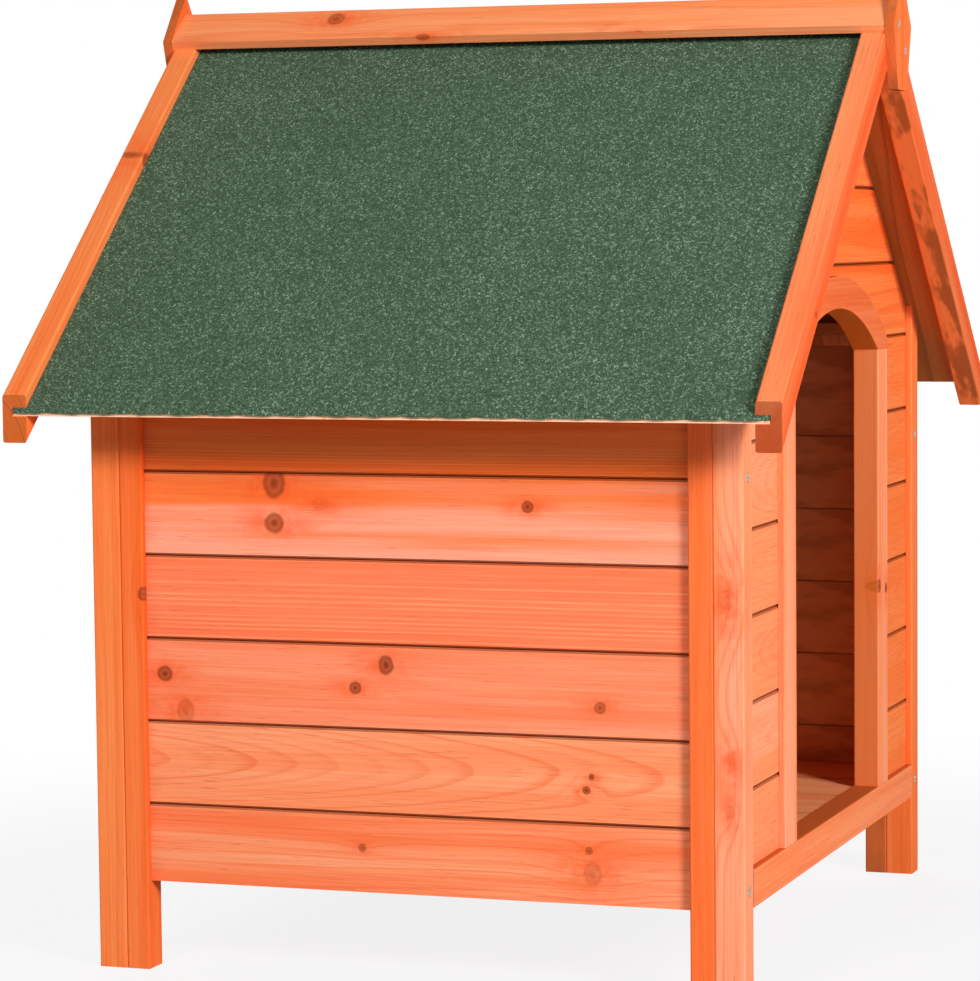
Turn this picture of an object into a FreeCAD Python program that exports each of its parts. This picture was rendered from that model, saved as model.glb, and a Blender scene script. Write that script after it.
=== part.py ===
import FreeCAD, Part
import math
import os
import Sketcher

# A flat-pack wooden dog house: four panels of tongue-and-groove boards set in square legs,
# a slatted floor, and a felted roof whose thin sheets slide into grooved barge rails.
# The frame: +Z up, origin on the ground under the middle of the house, front doorway facing -Y.

doc = FreeCAD.newDocument("DogHouse")
sheet = doc.addObject("Spreadsheet::Sheet", "Sizes")

# ---------------------------------------------------------------- driving sizes, millimetres
CELLS = {
    # walls
    "wall_width": 600.0,            # over the outer faces of the legs, across the front
    "wall_length": 555.0,           # from the front legs' face to the rear legs' face
    "leg_width": 25.0,              # every leg, across the front
    "end_leg_depth": 25.0,          # legs of the front and rear panels, front to back
    "side_leg_depth": 20.0,         # legs of the side panels, front to back
    "timber_easing": 1.5,           # rounding of the long edges of legs, sills and battens
    "underside_height": 73.0,       # ground to the lowest board and the sills
    # boards
    "board_thickness": 14.0,
    "board_recess": 6.0,            # board face behind the face of the legs
    "board_pitch": 68.5,            # cover of one board
    "lowest_side_board": 64.5,      # height of the side panels' lowest board
    "highest_side_board": 83.4,     # height of the side panels' highest board
    "air_slot": 11.0,               # between a side panel's highest board and its top rail
    "lowest_end_board": 61.0,       # height of the front and rear panels' lowest board
    "vee_size": 1.4,                # chamfer of each face edge at a board joint
    "joint_gap": 0.9,               # between the shoulders of two boards, both on the face and behind
    "tongue_height": 5.0,           # tongue above the board's cover; the next board stands on it
    "tongue_thickness": 4.0,
    "tongue_play": 0.3,             # room each side of a tongue in its groove
    "housing_depth": 5.0,           # board ends let into legs and battens
    "housing_play": 0.2,            # room each side of a board in its housing
    "cut_past": 1.0,                # how far a saw or router cut runs past the wood
    "top_rail_height": 10.0,        # rail that closes a side panel under the roof
    "top_rail_clearance": 0.4,      # top rail below the roof sheet
    # front and rear panel frames
    "sill_height": 31.0,
    "sill_depth": 23.0,             # upper part, that the door battens stand on
    "floor_ledge": 5.0,             # width of the step behind it that carries the floor
    "door_width": 284.0,            # clear opening between the door battens
    "batten_width": 36.0,
    "batten_depth": 23.0,
    "batten_height": 393.0,         # sill top to the springing of the arch
    "arch_rise": 40.0,
    "arch_band": 27.5,              # thickness of the arch piece at its crown
    "arch_fit": 0.3,                # gap between the arch piece and the boards cut round it
    # floor
    "floor_thickness": 9.0,
    "floor_drop": 1.5,              # floor below the top of the sills
    "floor_gap": 2.0,               # gap between two floor boards
    "floor_side_gap": 1.0,          # outer floor boards to the side boards
    "bearer_width": 40.0,
    "bearer_spacing": 260.0,
    # roof
    "roof_pitch": 41.3,             # degrees
    "gable_overhang": 47.5,         # face of the front or rear legs to the face of the rails
    "eave_overhang": 60.0,          # outer face of the legs to the plumb-cut ends of the rails
    "rail_depth": 29.1,             # rail section, square to the slope
    "rail_thickness": 21.0,
    "rail_lip": 7.7,                # wood above the groove
    "rail_easing": 1.8,
    "rail_groove_depth": 12.0,
    "rail_ridge_gap": 0.4,          # half of the joint between two rails at the ridge
    "sheet_thickness": 3.0,         # plywood
    "felt_thickness": 2.2,
    "sheet_play": 0.3,              # room above the felt in the groove
    "sheet_end_play": 0.5,          # room at the bottom of the groove
    "sheet_set_back": 0.6,          # plywood edge behind the rails' ends
    "felt_drip": 1.2,               # felt past the rails' ends
    "cap_thickness": 8.0,
    "cap_leg": 37.3,                # inner face of one leg of the cap, along the slope
    "cap_flat": 3.0,                # half of the flat along the cap's apex
    # plates that tie the rails at the ridge
    "plate_thickness": 8.5,
    "plate_rise": 25.5,             # apex above the ridge line of the rails
    "plate_shoulder_drop": 17.5,    # widest level below the ridge line
    "plate_drop": 71.5,             # foot below the ridge line
    "plate_half_width": 32.0,
    "plate_foot_half_width": 16.0,
    "plate_easing": 1.2,
    # screws
    "screw_radius": 2.0,
    "screw_head_radius": 3.7,
    "screw_head_height": 2.4,
    "screw_head_play": 0.2,
    "leg_screw_length": 38.0,
    "leg_screw_spacing": 324.5,     # from a corner's lower screw, level with the sill, to its upper one
    "plate_screw_length": 24.0,
    "plate_screw_offset": 12.0,
    "plate_screw_upper_drop": 17.0,
    "plate_screw_lower_drop": 38.0,
}

SIDE_BOARDS = 6
DOOR_SIDE_BOARDS = 6
GABLE_BOARDS = 4
FLOOR_BOARDS = 6
LEFT, RIGHT = -1, 1
FRONT, REAR = -1, 1
SIDE_NAMES = {LEFT: "left", RIGHT: "right"}
END_NAMES = {FRONT: "front", REAR: "rear"}
STEP_FOLDER = "parts"


class Size:
    """A length worked out from the sheet: its number now, and the formula that a feature is bound to."""

    def __init__(self, value, formula):
        self.value = value
        self.formula = formula

    def __add__(self, other):
        other = as_size(other)
        return Size(self.value + other.value, f"({self.formula} + {other.formula})")

    def __sub__(self, other):
        other = as_size(other)
        return Size(self.value - other.value, f"({self.formula} - {other.formula})")

    def __mul__(self, other):
        other = as_size(other)
        return Size(self.value * other.value, f"({self.formula} * {other.formula})")

    def __truediv__(self, other):
        other = as_size(other)
        return Size(self.value / other.value, f"({self.formula} / {other.formula})")

    def __neg__(self):
        return self * -1

    __radd__ = __add__
    __rmul__ = __mul__


def as_size(number):
    """A plain number as a Size; a Size as it is."""
    if isinstance(number, Size):
        return number
    return Size(float(number), f"({number})")


def tan_of(angle):
    return Size(math.tan(math.radians(angle.value)), f"tan({angle.formula})")


def cos_of(angle):
    return Size(math.cos(math.radians(angle.value)), f"cos({angle.formula})")


def sin_of(angle):
    return Size(math.sin(math.radians(angle.value)), f"sin({angle.formula})")


def root_of(square):
    return Size(math.sqrt(square.value), f"sqrt({square.formula})")


def lesser_of(first, second):
    return Size(min(first.value, second.value), f"min({first.formula}; {second.formula})")


def fill_sheet():
    """Writes the driving sizes to the sheet, one alias each, and returns them by name."""
    for row, (name, number) in enumerate(CELLS.items(), start=1):
        cell = f"A{row}"
        sheet.set(cell, str(number))
        sheet.setAlias(cell, name)
    doc.recompute()
    return {name: Size(float(sheet.get(name)), f"Sizes.{name}") for name in CELLS}


size = fill_sheet()

# ---------------------------------------------------------------- sizes that follow from the sheet
half_width = size["wall_width"] / 2
half_length = size["wall_length"] / 2
leg_inner = half_width - size["leg_width"]
side_leg_outer = half_length - size["end_leg_depth"]
side_leg_inner = side_leg_outer - size["side_leg_depth"]
side_board_outer = half_width - size["board_recess"]
side_board_inner = side_board_outer - size["board_thickness"]
end_board_outer = half_length - size["board_recess"]
end_board_inner = end_board_outer - size["board_thickness"]
sill_top = size["underside_height"] + size["sill_height"]
sill_inner = half_length - size["sill_depth"] - size["floor_ledge"]
door_half = size["door_width"] / 2
batten_outer = door_half + size["batten_width"]
springing = sill_top + size["batten_height"]
board_end_at_leg = leg_inner + size["housing_depth"]
board_end_at_door = batten_outer - size["housing_depth"]

slope = tan_of(size["roof_pitch"])
slope_cos = cos_of(size["roof_pitch"])
slope_sin = sin_of(size["roof_pitch"])
half_roof = half_length + size["gable_overhang"]
roof_reach = half_width + size["eave_overhang"]
rail_inner = half_roof - size["rail_thickness"]
rail_plumb = size["rail_depth"] / slope_cos
sheet_reach = rail_inner + size["rail_groove_depth"] - size["sheet_end_play"]
groove_height = size["sheet_thickness"] + size["felt_thickness"] + size["sheet_play"]
sheet_drop = (size["rail_lip"] + groove_height) / slope_cos
felt_drop = sheet_drop - size["sheet_thickness"] / slope_cos
felt_top_drop = felt_drop - size["felt_thickness"] / slope_cos
lip_drop = size["rail_lip"] / slope_cos

# the side panels' boards carry the roof: its height follows from theirs
lowest_board_top = size["underside_height"] + size["lowest_side_board"]
highest_board_foot = lowest_board_top + size["board_pitch"] * (SIDE_BOARDS - 2)
highest_board_top = highest_board_foot + size["highest_side_board"]
top_rail_foot = highest_board_top + size["air_slot"]
top_rail_top = top_rail_foot + size["top_rail_height"]
ridge_height = top_rail_top + size["top_rail_clearance"] + slope * side_board_outer + sheet_drop
leg_screw_low = size["underside_height"] + size["sill_height"] / 2
leg_screw_heights = (leg_screw_low, leg_screw_low + size["leg_screw_spacing"])

# the arch: inner and outer arcs about one centre on the middle line of the doorway
arch_radius = (door_half * door_half + size["arch_rise"] * size["arch_rise"]) / (size["arch_rise"] * 2)
arch_centre = springing + size["arch_rise"] - arch_radius
arch_outer_radius = arch_radius + size["arch_band"]
arch_crown = arch_centre + arch_outer_radius
leg_centre = half_width - size["leg_width"] / 2
floor_top = sill_top - size["floor_drop"]
floor_reach = half_length - size["sill_depth"]


def roof_line(distance, drop):
    """Height of a line parallel to the roof, at a distance from the ridge, plumb below the rails' top."""
    return ridge_height - drop - slope * distance


def wall_top(distance):
    """Height of the underside of the roof sheets, where walls and legs are cut to the slope."""
    return roof_line(distance, sheet_drop)


# ---------------------------------------------------------------- how a piece is drawn
def origin_plane(body, role):
    for feature in body.Origin.OriginFeatures:
        if feature.Role == role:
            return feature
    raise ValueError(role)


def bind(thing, path, number):
    thing.setExpression(path, as_size(number).formula)


def pin_point(sketch, geometry, end, across, up):
    """Ties one sketch point to its two distances from the sketch's origin."""
    for kind, number, axis in (("DistanceX", across, -2), ("DistanceY", up, -1)):
        number = as_size(number)
        if number.value == 0.0:
            sketch.addConstraint(Sketcher.Constraint("PointOnObject", geometry, end, axis))
            continue
        index = sketch.addConstraint(Sketcher.Constraint(kind, -1, 1, geometry, end, number.value))
        bind(sketch, f"Constraints[{index}]", number)


def pin_height(sketch, geometry, end, up):
    """Ties one sketch point to its height alone: an arc's centre, whose ends are already placed."""
    index = sketch.addConstraint(Sketcher.Constraint("DistanceY", -1, 1, geometry, end, up.value))
    bind(sketch, f"Constraints[{index}]", up)


def new_sketch(body, role, level):
    """A sketch on one of the body's own origin planes, moved along the plane's normal to a level."""
    sketch = body.newObject("Sketcher::SketchObject", "Outline")
    sketch.AttachmentSupport = (origin_plane(body, role), [""])
    sketch.MapMode = "FlatFace"
    bind(sketch, "AttachmentOffset.Base.z", level)
    return sketch


def draw_polygon(sketch, points):
    corners = [FreeCAD.Vector(as_size(a).value, as_size(b).value, 0) for a, b in points]
    count = len(corners)
    for index in range(count):
        sketch.addGeometry(Part.LineSegment(corners[index], corners[(index + 1) % count]))
    for index in range(count):
        sketch.addConstraint(Sketcher.Constraint("Coincident", index, 2, (index + 1) % count, 1))
    for index, (across, up) in enumerate(points):
        pin_point(sketch, index, 1, across, up)


def draw_circle(sketch, across, up, radius):
    centre = FreeCAD.Vector(as_size(across).value, as_size(up).value, 0)
    sketch.addGeometry(Part.Circle(centre, FreeCAD.Vector(0, 0, 1), radius.value))
    pin_point(sketch, 0, 3, across, up)
    index = sketch.addConstraint(Sketcher.Constraint("Radius", 0, radius.value))
    bind(sketch, f"Constraints[{index}]", radius)


# A slab or cut runs from a low to a high level along the normal of its plane's world axis.
# The XZ plane's normal points to -Y, so its levels are counted from the far face.
def span_on(role, low, high):
    """Where the sketch lies along its normal, and the distance that it is drawn out."""
    if role == "XZ_Plane":
        return -as_size(high), as_size(high) - low
    return as_size(low), as_size(high) - low


def new_body(label):
    body = doc.addObject("PartDesign::Body", label)
    body.Label = label
    body.Placement = FreeCAD.Placement()
    return body


def add_slab(body, role, points, low, high):
    """A flat piece with a straight-sided outline, between two levels."""
    level, length = span_on(role, low, high)
    sketch = new_sketch(body, role, level)
    draw_polygon(sketch, points)
    pad = body.newObject("PartDesign::Pad", "Slab")
    pad.Profile = sketch
    bind(pad, "Length", length)
    sketch.Visibility = False
    doc.recompute()
    return pad


def take_out(body, sketch, length):
    """Pockets a sketch along its normal, and makes sure that wood was removed."""
    before = body.Shape.Volume
    pocket = body.newObject("PartDesign::Pocket", "Cut")
    pocket.Profile = sketch
    pocket.Reversed = True
    bind(pocket, "Length", length)
    sketch.Visibility = False
    doc.recompute()
    if body.Shape.Volume >= before:
        raise ValueError(f"{body.Label}: a cut removed nothing")
    return pocket


def cut_slab(body, role, points, low, high):
    level, length = span_on(role, low, high)
    sketch = new_sketch(body, role, level)
    draw_polygon(sketch, points)
    return take_out(body, sketch, length)


def cut_bore(body, across, up, radius, low, high):
    """A round hole along Y between two levels."""
    level, length = span_on("XZ_Plane", low, high)
    sketch = new_sketch(body, "XZ_Plane", level)
    draw_circle(sketch, across, up, radius)
    return take_out(body, sketch, length)


def ease_edges(body, base, radius, direction):
    """Rounds the straight edges of a feature that run along a direction."""
    names = []
    for index, edge in enumerate(base.Shape.Edges, start=1):
        along = edge.tangentAt(edge.FirstParameter)
        if abs(abs(along.dot(direction)) - 1.0) < 1e-6:
            names.append(f"Edge{index}")
    easing = body.newObject("PartDesign::Fillet", "Easing")
    easing.Base = (base, names)
    bind(easing, "Radius", radius)
    doc.recompute()
    return easing


def rectangle(low_across, high_across, low_up, high_up):
    return [(low_across, low_up), (high_across, low_up), (high_across, high_up), (low_across, high_up)]


def ordered(sign, near, far):
    """Two distances from the middle plane, as low and high levels on the side that sign gives."""
    near = as_size(near)
    far = as_size(far)
    return (near, far) if sign > 0 else (-far, -near)


def level_pair(sign, near, far):
    """The same pair, for a slab or cut on the end or side that sign gives."""
    low, high = ordered(sign, near, far)
    return {"low": low, "high": high}


ALONG_X = FreeCAD.Vector(1, 0, 0)
ALONG_Y = FreeCAD.Vector(0, 1, 0)
ALONG_Z = FreeCAD.Vector(0, 0, 1)


# ---------------------------------------------------------------- boards
def board_section(sign, face, height, grooved, tongued):
    """Section of a tongue-and-groove board standing on its edge, its face outwards on the side of sign.

    Chamfers on the face make the vee at each joint. The tongue stands on the upper edge and reaches
    the bottom of the next board's groove, so that the shoulders beside it stay a narrow gap apart.
    """
    vee = size["vee_size"]
    back = face - size["board_thickness"]
    middle = face - size["board_thickness"] / 2
    tongue_face = middle + size["tongue_thickness"] / 2
    tongue_back = middle - size["tongue_thickness"] / 2
    play = size["tongue_play"]
    deep = size["tongue_height"]
    points = [(back, 0)]
    if grooved:
        points += [(tongue_back - play, 0), (tongue_back - play, deep)]
        points += [(tongue_face + play, deep), (tongue_face + play, 0)]
        points += [(face - vee, 0), (face, vee)]
    else:
        points += [(face, 0)]
    if tongued:
        top = height + size["tongue_height"]
        shoulder = height - size["joint_gap"]
        points += [(face, shoulder - vee), (face - vee, shoulder)]
        points += [(tongue_face, shoulder), (tongue_face, top)]
        points += [(tongue_back, top), (tongue_back, shoulder), (back, shoulder)]
    else:
        points += [(face, height), (back, height)]
    return [(as_size(across) * sign, up) for across, up in points]


def set_height(body, level):
    bind(body, "Placement.Base.z", level)


def side_panel_boards(side):
    """The boards of a side panel, from the lowest up, their ends housed in the side legs."""
    reach = side_leg_inner + size["housing_depth"]
    level = size["underside_height"]
    for number in range(1, SIDE_BOARDS + 1):
        height = size["board_pitch"]
        if number == 1:
            height = size["lowest_side_board"]
        if number == SIDE_BOARDS:
            height = size["highest_side_board"]
        body = new_body(f"side_{SIDE_NAMES[side]}_board_{number}")
        section = board_section(side, side_board_outer, height, number > 1, number < SIDE_BOARDS)
        add_slab(body, "XZ_Plane", section, -reach, reach)
        set_height(body, level)
        level = level + height


def side_top_rail(side):
    """Closes a side panel under the roof; a slot for air is left between it and the highest board."""
    reach = side_leg_inner + size["housing_depth"]
    low, high = ordered(side, side_board_inner, side_board_outer)
    body = new_body(f"side_{SIDE_NAMES[side]}_top_rail")
    add_slab(body, "XZ_Plane", rectangle(low, high, top_rail_foot, top_rail_top), -reach, reach)


def end_rows():
    """Levels where the boards of a front or rear panel start, and the ridge, where the last one ends.

    The boards beside the doorway cover as much as the side panels' do; the gable boards share the rest.
    """
    levels = [sill_top, sill_top + size["lowest_end_board"]]
    for _ in range(DOOR_SIDE_BOARDS - 1):
        levels.append(levels[-1] + size["board_pitch"])
    gable_foot = levels[-1]
    gable_share = (wall_top(0) - gable_foot) / GABLE_BOARDS
    for number in range(1, GABLE_BOARDS + 1):
        levels.append(gable_foot + gable_share * number)
    return levels


ROWS = end_rows()


def arch_outline_cut(body, level):
    """Cuts a board round the outside of the arch piece, in the board's own height."""
    fit = size["arch_fit"]
    edge = batten_outer + fit
    radius = arch_outer_radius + fit
    foot = lesser_of(springing - level, -size["cut_past"])
    centre_up = arch_centre - level
    shoulder = centre_up + root_of(radius * radius - edge * edge)
    cut_depth = span_on("XZ_Plane", -half_length, -(end_board_inner - size["cut_past"]))
    sketch = new_sketch(body, "XZ_Plane", cut_depth[0])
    centre = FreeCAD.Vector(0, centre_up.value, 0)
    start_angle = math.atan2(shoulder.value - centre_up.value, edge.value)
    circle = Part.Circle(centre, FreeCAD.Vector(0, 0, 1), radius.value)
    sketch.addGeometry(Part.ArcOfCircle(circle, start_angle, math.pi - start_angle))
    corners = [(-edge, shoulder), (-edge, foot), (edge, foot), (edge, shoulder)]
    places = [FreeCAD.Vector(a.value, b.value, 0) for a, b in corners]
    for first, second in zip(places, places[1:]):
        sketch.addGeometry(Part.LineSegment(first, second))
    sketch.addConstraint(Sketcher.Constraint("Coincident", 0, 2, 1, 1))
    sketch.addConstraint(Sketcher.Constraint("Coincident", 1, 2, 2, 1))
    sketch.addConstraint(Sketcher.Constraint("Coincident", 2, 2, 3, 1))
    sketch.addConstraint(Sketcher.Constraint("Coincident", 3, 2, 0, 1))
    for index, (across, up) in enumerate(corners[:3], start=1):
        pin_point(sketch, index, 1, across, up)
    pin_point(sketch, 3, 2, *corners[3])
    pin_height(sketch, 0, 3, centre_up)
    take_out(body, sketch, cut_depth[1])


def roof_cut(body, side, level, low, high):
    """Cuts the end of a gable board along the underside of the roof, on one side of the ridge."""
    far = half_width
    peak = wall_top(as_size(0)) - level
    eave = wall_top(far) - level
    above = peak + size["board_pitch"]
    points = [(0, peak), (far * side, eave), (far * side, above), (0, above)]
    cut_slab(body, "XZ_Plane", points, low, high)


def end_board(label, end, row, reach, sides):
    """One board of a front or rear panel, cut along the roof on the sides where it meets the slope.

    reach holds the board's two ends across the front.
    """
    level, next_level = ROWS[row], ROWS[row + 1]
    tongued = row + 2 < len(ROWS)
    body = new_body(label)
    section = board_section(end, end_board_outer, next_level - level, row > 0, tongued)
    add_slab(body, "YZ_Plane", section, *reach)
    tongue_top = next_level + size["tongue_height"]
    if tongue_top.value > wall_top(board_end_at_leg).value:
        low, high = ordered(end, end_board_inner - size["cut_past"], half_length)
        for side in sides:
            roof_cut(body, side, level, low, high)
    if end == FRONT and DOOR_SIDE_BOARDS <= row and level.value < arch_crown.value:
        arch_outline_cut(body, level)
    set_height(body, level)
    return body


def door_side_boards(side):
    """The column of boards between a front leg and the door batten, all in one node.

    Those that stand higher than the batten are notched for the foot of the arch piece.
    """
    name = f"front_{SIDE_NAMES[side]}_boards"
    reach = ordered(side, board_end_at_door, board_end_at_leg)
    past = size["cut_past"]
    low, high = ordered(side, board_end_at_door - past, batten_outer + size["arch_fit"])
    pieces = []
    for row in range(DOOR_SIDE_BOARDS):
        board = end_board(f"{name}_row_{row + 1}", FRONT, row, reach, [side])
        tongue_top = ROWS[row + 1] + size["tongue_height"]
        if springing.value < tongue_top.value:
            notch = rectangle(low, high, springing - ROWS[row], tongue_top - ROWS[row] + past)
            cut_slab(board, "XZ_Plane", notch, -half_length, -(end_board_inner - past))
        pieces.append(board)
    group_node(name, pieces)


def end_panel_boards():
    """Gable boards over the doorway, and every board of the rear panel."""
    reach = (-board_end_at_leg, board_end_at_leg)
    for number in range(1, GABLE_BOARDS + 1):
        end_board(f"front_gable_board_{number}", FRONT, DOOR_SIDE_BOARDS + number - 1, reach, (LEFT, RIGHT))
    for number in range(1, DOOR_SIDE_BOARDS + GABLE_BOARDS + 1):
        end_board(f"rear_board_{number}", REAR, number - 1, reach, (LEFT, RIGHT))


# ---------------------------------------------------------------- legs, sills, door frame
def leg(label, side, near, far, end):
    """A square leg cut to the roof's slope at its top, between two distances from the middle plane."""
    body = new_body(label)
    points = [
        (leg_inner * side, 0),
        (half_width * side, 0),
        (half_width * side, wall_top(half_width)),
        (leg_inner * side, wall_top(leg_inner)),
    ]
    low, high = ordered(end, near, far)
    block = add_slab(body, "XZ_Plane", points, low, high)
    ease_edges(body, block, size["timber_easing"], ALONG_Z)
    return body


def side_leg(side, end):
    """Leg of a side panel, with the housing for the side boards and a pilot hole for each leg screw."""
    body = leg(f"side_{SIDE_NAMES[side]}_leg_{END_NAMES[end]}", side, side_leg_inner, side_leg_outer, end)
    play = size["housing_play"]
    low, high = ordered(side, side_board_inner - play, side_board_outer + play)
    floor_of_housing = side_leg_inner + size["housing_depth"]
    groove = level_pair(end, side_leg_inner - size["cut_past"], floor_of_housing)
    top = wall_top(leg_inner) + size["cut_past"]
    cut_slab(body, "XZ_Plane", rectangle(low, high, size["underside_height"], top), **groove)
    tip = half_length - size["leg_screw_length"]
    for height in leg_screw_heights:
        pilot = level_pair(end, tip, side_leg_outer)
        cut_bore(body, leg_centre * side, height, size["screw_radius"], **pilot)


def end_leg(side, end):
    """Leg of the front or rear panel, with the housing for its boards and the screw holes."""
    body = leg(f"{END_NAMES[end]}_leg_{SIDE_NAMES[side]}", side, side_leg_outer, half_length, end)
    play = size["housing_play"]
    groove = level_pair(end, end_board_inner - play, end_board_outer + play)
    low, high = ordered(side, leg_inner - size["cut_past"], board_end_at_leg)
    top = wall_top(leg_inner) + size["cut_past"]
    cut_slab(body, "XZ_Plane", rectangle(low, high, sill_top, top), **groove)
    head_room = half_length - size["screw_head_height"]
    head_radius = size["screw_head_radius"] + size["screw_head_play"]
    for height in leg_screw_heights:
        shank = level_pair(end, side_leg_outer, head_room)
        cut_bore(body, leg_centre * side, height, size["screw_radius"], **shank)
        sink = level_pair(end, head_room, half_length)
        cut_bore(body, leg_centre * side, height, head_radius, **sink)


def sill(end):
    """Bottom rail of the front or rear panel; the floor boards' ends lie on the step along its inner edge."""
    body = new_body(f"{END_NAMES[end]}_sill")
    low, high = ordered(end, sill_inner, half_length)
    outline = rectangle(low, high, size["underside_height"], sill_top)
    block = add_slab(body, "YZ_Plane", outline, -leg_inner, leg_inner)
    ease_edges(body, block, size["timber_easing"], ALONG_X)
    past = size["cut_past"]
    low, high = ordered(end, sill_inner - past, floor_reach)
    rebate = rectangle(low, high, floor_top - size["floor_thickness"], sill_top + past)
    cut_slab(body, "YZ_Plane", rebate, -(leg_inner + past), leg_inner + past)


def door_batten(side):
    """Upright beside the doorway, standing on the sill, with a housing for the boards' ends."""
    body = new_body(f"door_batten_{SIDE_NAMES[side]}")
    low, high = ordered(side, door_half, batten_outer)
    front = -half_length
    back = -(half_length - size["batten_depth"])
    block = add_slab(body, "XY_Plane", rectangle(low, high, front, back), sill_top, springing)
    ease_edges(body, block, size["timber_easing"], ALONG_Z)
    play = size["housing_play"]
    past = size["cut_past"]
    low, high = ordered(side, board_end_at_door, batten_outer + past)
    groove = rectangle(low, high, -(end_board_outer + play), -(end_board_inner - play))
    cut_slab(body, "XY_Plane", groove, sill_top - past, springing + past)


def door_arch():
    """The curved head of the doorway, standing on the two battens: a band between two arcs."""
    body = new_body("door_arch")
    level, depth = span_on("XZ_Plane", -half_length, -(half_length - size["batten_depth"]))
    sketch = new_sketch(body, "XZ_Plane", level)
    outer, inner, top = arch_outer_radius, arch_radius, arch_centre
    shoulder = top + root_of(outer * outer - batten_outer * batten_outer)
    centre = FreeCAD.Vector(0, top.value, 0)
    normal = FreeCAD.Vector(0, 0, 1)
    outer_angle = math.atan2(shoulder.value - top.value, batten_outer.value)
    inner_angle = math.atan2(springing.value - top.value, door_half.value)
    outer_circle = Part.Circle(centre, normal, outer.value)
    inner_circle = Part.Circle(centre, normal, inner.value)
    sketch.addGeometry(Part.ArcOfCircle(outer_circle, outer_angle, math.pi - outer_angle))
    sketch.addGeometry(Part.ArcOfCircle(inner_circle, inner_angle, math.pi - inner_angle))
    left = [(-batten_outer, shoulder), (-batten_outer, springing), (-door_half, springing)]
    right = [(door_half, springing), (batten_outer, springing), (batten_outer, shoulder)]
    for corners in (left, right):
        places = [FreeCAD.Vector(a.value, b.value, 0) for a, b in corners]
        for first, second in zip(places, places[1:]):
            sketch.addGeometry(Part.LineSegment(first, second))
    joins = [(0, 2, 2, 1), (2, 2, 3, 1), (3, 2, 1, 2), (1, 1, 4, 1), (4, 2, 5, 1), (5, 2, 0, 1)]
    for first, first_end, second, second_end in joins:
        sketch.addConstraint(Sketcher.Constraint("Coincident", first, first_end, second, second_end))
    for index, corners in ((2, left), (4, right)):
        pin_point(sketch, index, 1, *corners[0])
        pin_point(sketch, index + 1, 1, *corners[1])
        pin_point(sketch, index + 1, 2, *corners[2])
    pin_height(sketch, 0, 3, top)
    pin_height(sketch, 1, 3, top)
    pad = body.newObject("PartDesign::Pad", "Slab")
    pad.Profile = sketch
    bind(pad, "Length", depth)
    sketch.Visibility = False
    doc.recompute()


# ---------------------------------------------------------------- floor
def floor_boards():
    """Boards from sill to sill with narrow gaps, nearly level with the sills that carry their ends."""
    reach = floor_reach
    room = (side_board_inner - size["floor_side_gap"]) * 2
    width = (room - size["floor_gap"] * (FLOOR_BOARDS - 1)) / FLOOR_BOARDS
    boards = []
    for number in range(FLOOR_BOARDS):
        start = (width + size["floor_gap"]) * number - room / 2
        board = new_body(f"floor_board_{number + 1}")
        inner = side_leg_inner - size["floor_side_gap"]
        edge = leg_inner - size["floor_side_gap"]
        low, high = start, start + width
        points = rectangle(low, high, -reach, reach)
        if number == 0:
            points = notched_floor_board(high, low, -edge, inner, reach)
        if number == FLOOR_BOARDS - 1:
            points = notched_floor_board(low, high, edge, inner, reach)
        add_slab(board, "XY_Plane", points, floor_top - size["floor_thickness"], floor_top)
        boards.append(board)
    group_node("floor_boards", boards)


def notched_floor_board(near, far, edge, inner, reach):
    """Outline of an outermost floor board, narrowed at both ends to pass between the side legs."""
    return [
        (near, -reach), (edge, -reach), (edge, -inner), (far, -inner),
        (far, inner), (edge, inner), (edge, reach), (near, reach),
    ]


def floor_bearers():
    """Two slats across the underside of the floor that tie its boards together."""
    high = floor_top - size["floor_thickness"]
    reach = side_board_inner - size["floor_side_gap"]
    bearers = []
    for end in (FRONT, REAR):
        middle = size["bearer_spacing"] / 2 * end
        bearer = new_body(f"{END_NAMES[end]}_bearer")
        half = size["bearer_width"] / 2
        outline = rectangle(middle - half, middle + half, high - size["floor_thickness"], high)
        add_slab(bearer, "YZ_Plane", outline, -reach, reach)
        bearers.append(bearer)
    group_node("floor_bearers", bearers)


def group_node(name, pieces):
    """One node of several separate solids."""
    group = doc.addObject("Part::Compound", name)
    group.Label = name
    group.Links = pieces
    group.Placement = FreeCAD.Placement()
    return group


# ---------------------------------------------------------------- roof
def slope_band(side, near, far, upper_drop, lower_drop):
    """Outline of a piece that lies along one slope, plumb cut at both ends."""
    return [
        (as_size(far) * side, roof_line(far, lower_drop)),
        (as_size(far) * side, roof_line(far, upper_drop)),
        (as_size(near) * side, roof_line(near, upper_drop)),
        (as_size(near) * side, roof_line(near, lower_drop)),
    ]


def roof_rail(side, end):
    """Barge rail at the front or rear edge of a slope, grooved along its inner face for the sheet."""
    body = new_body(f"roof_rail_{END_NAMES[end]}_{SIDE_NAMES[side]}")
    low, high = ordered(end, rail_inner, half_roof)
    outline = slope_band(side, size["rail_ridge_gap"], roof_reach, 0, rail_plumb)
    block = add_slab(body, "XZ_Plane", outline, low, high)
    down_slope = FreeCAD.Vector(slope_cos.value * side, 0, -slope_sin.value)
    ease_edges(body, block, size["rail_easing"], down_slope)
    past = size["cut_past"]
    groove = level_pair(end, rail_inner - past, rail_inner + size["rail_groove_depth"])
    cut_slab(body, "XZ_Plane", slope_band(side, -past, roof_reach + past, lip_drop, sheet_drop), **groove)
    if (side, end) in PLATE_SCREWS:
        across, height = PLATE_SCREWS[side, end]
        tip = half_roof + size["plate_thickness"] - size["plate_screw_length"]
        cut_bore(body, across, height, size["screw_radius"], **level_pair(end, tip, half_roof))


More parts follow.
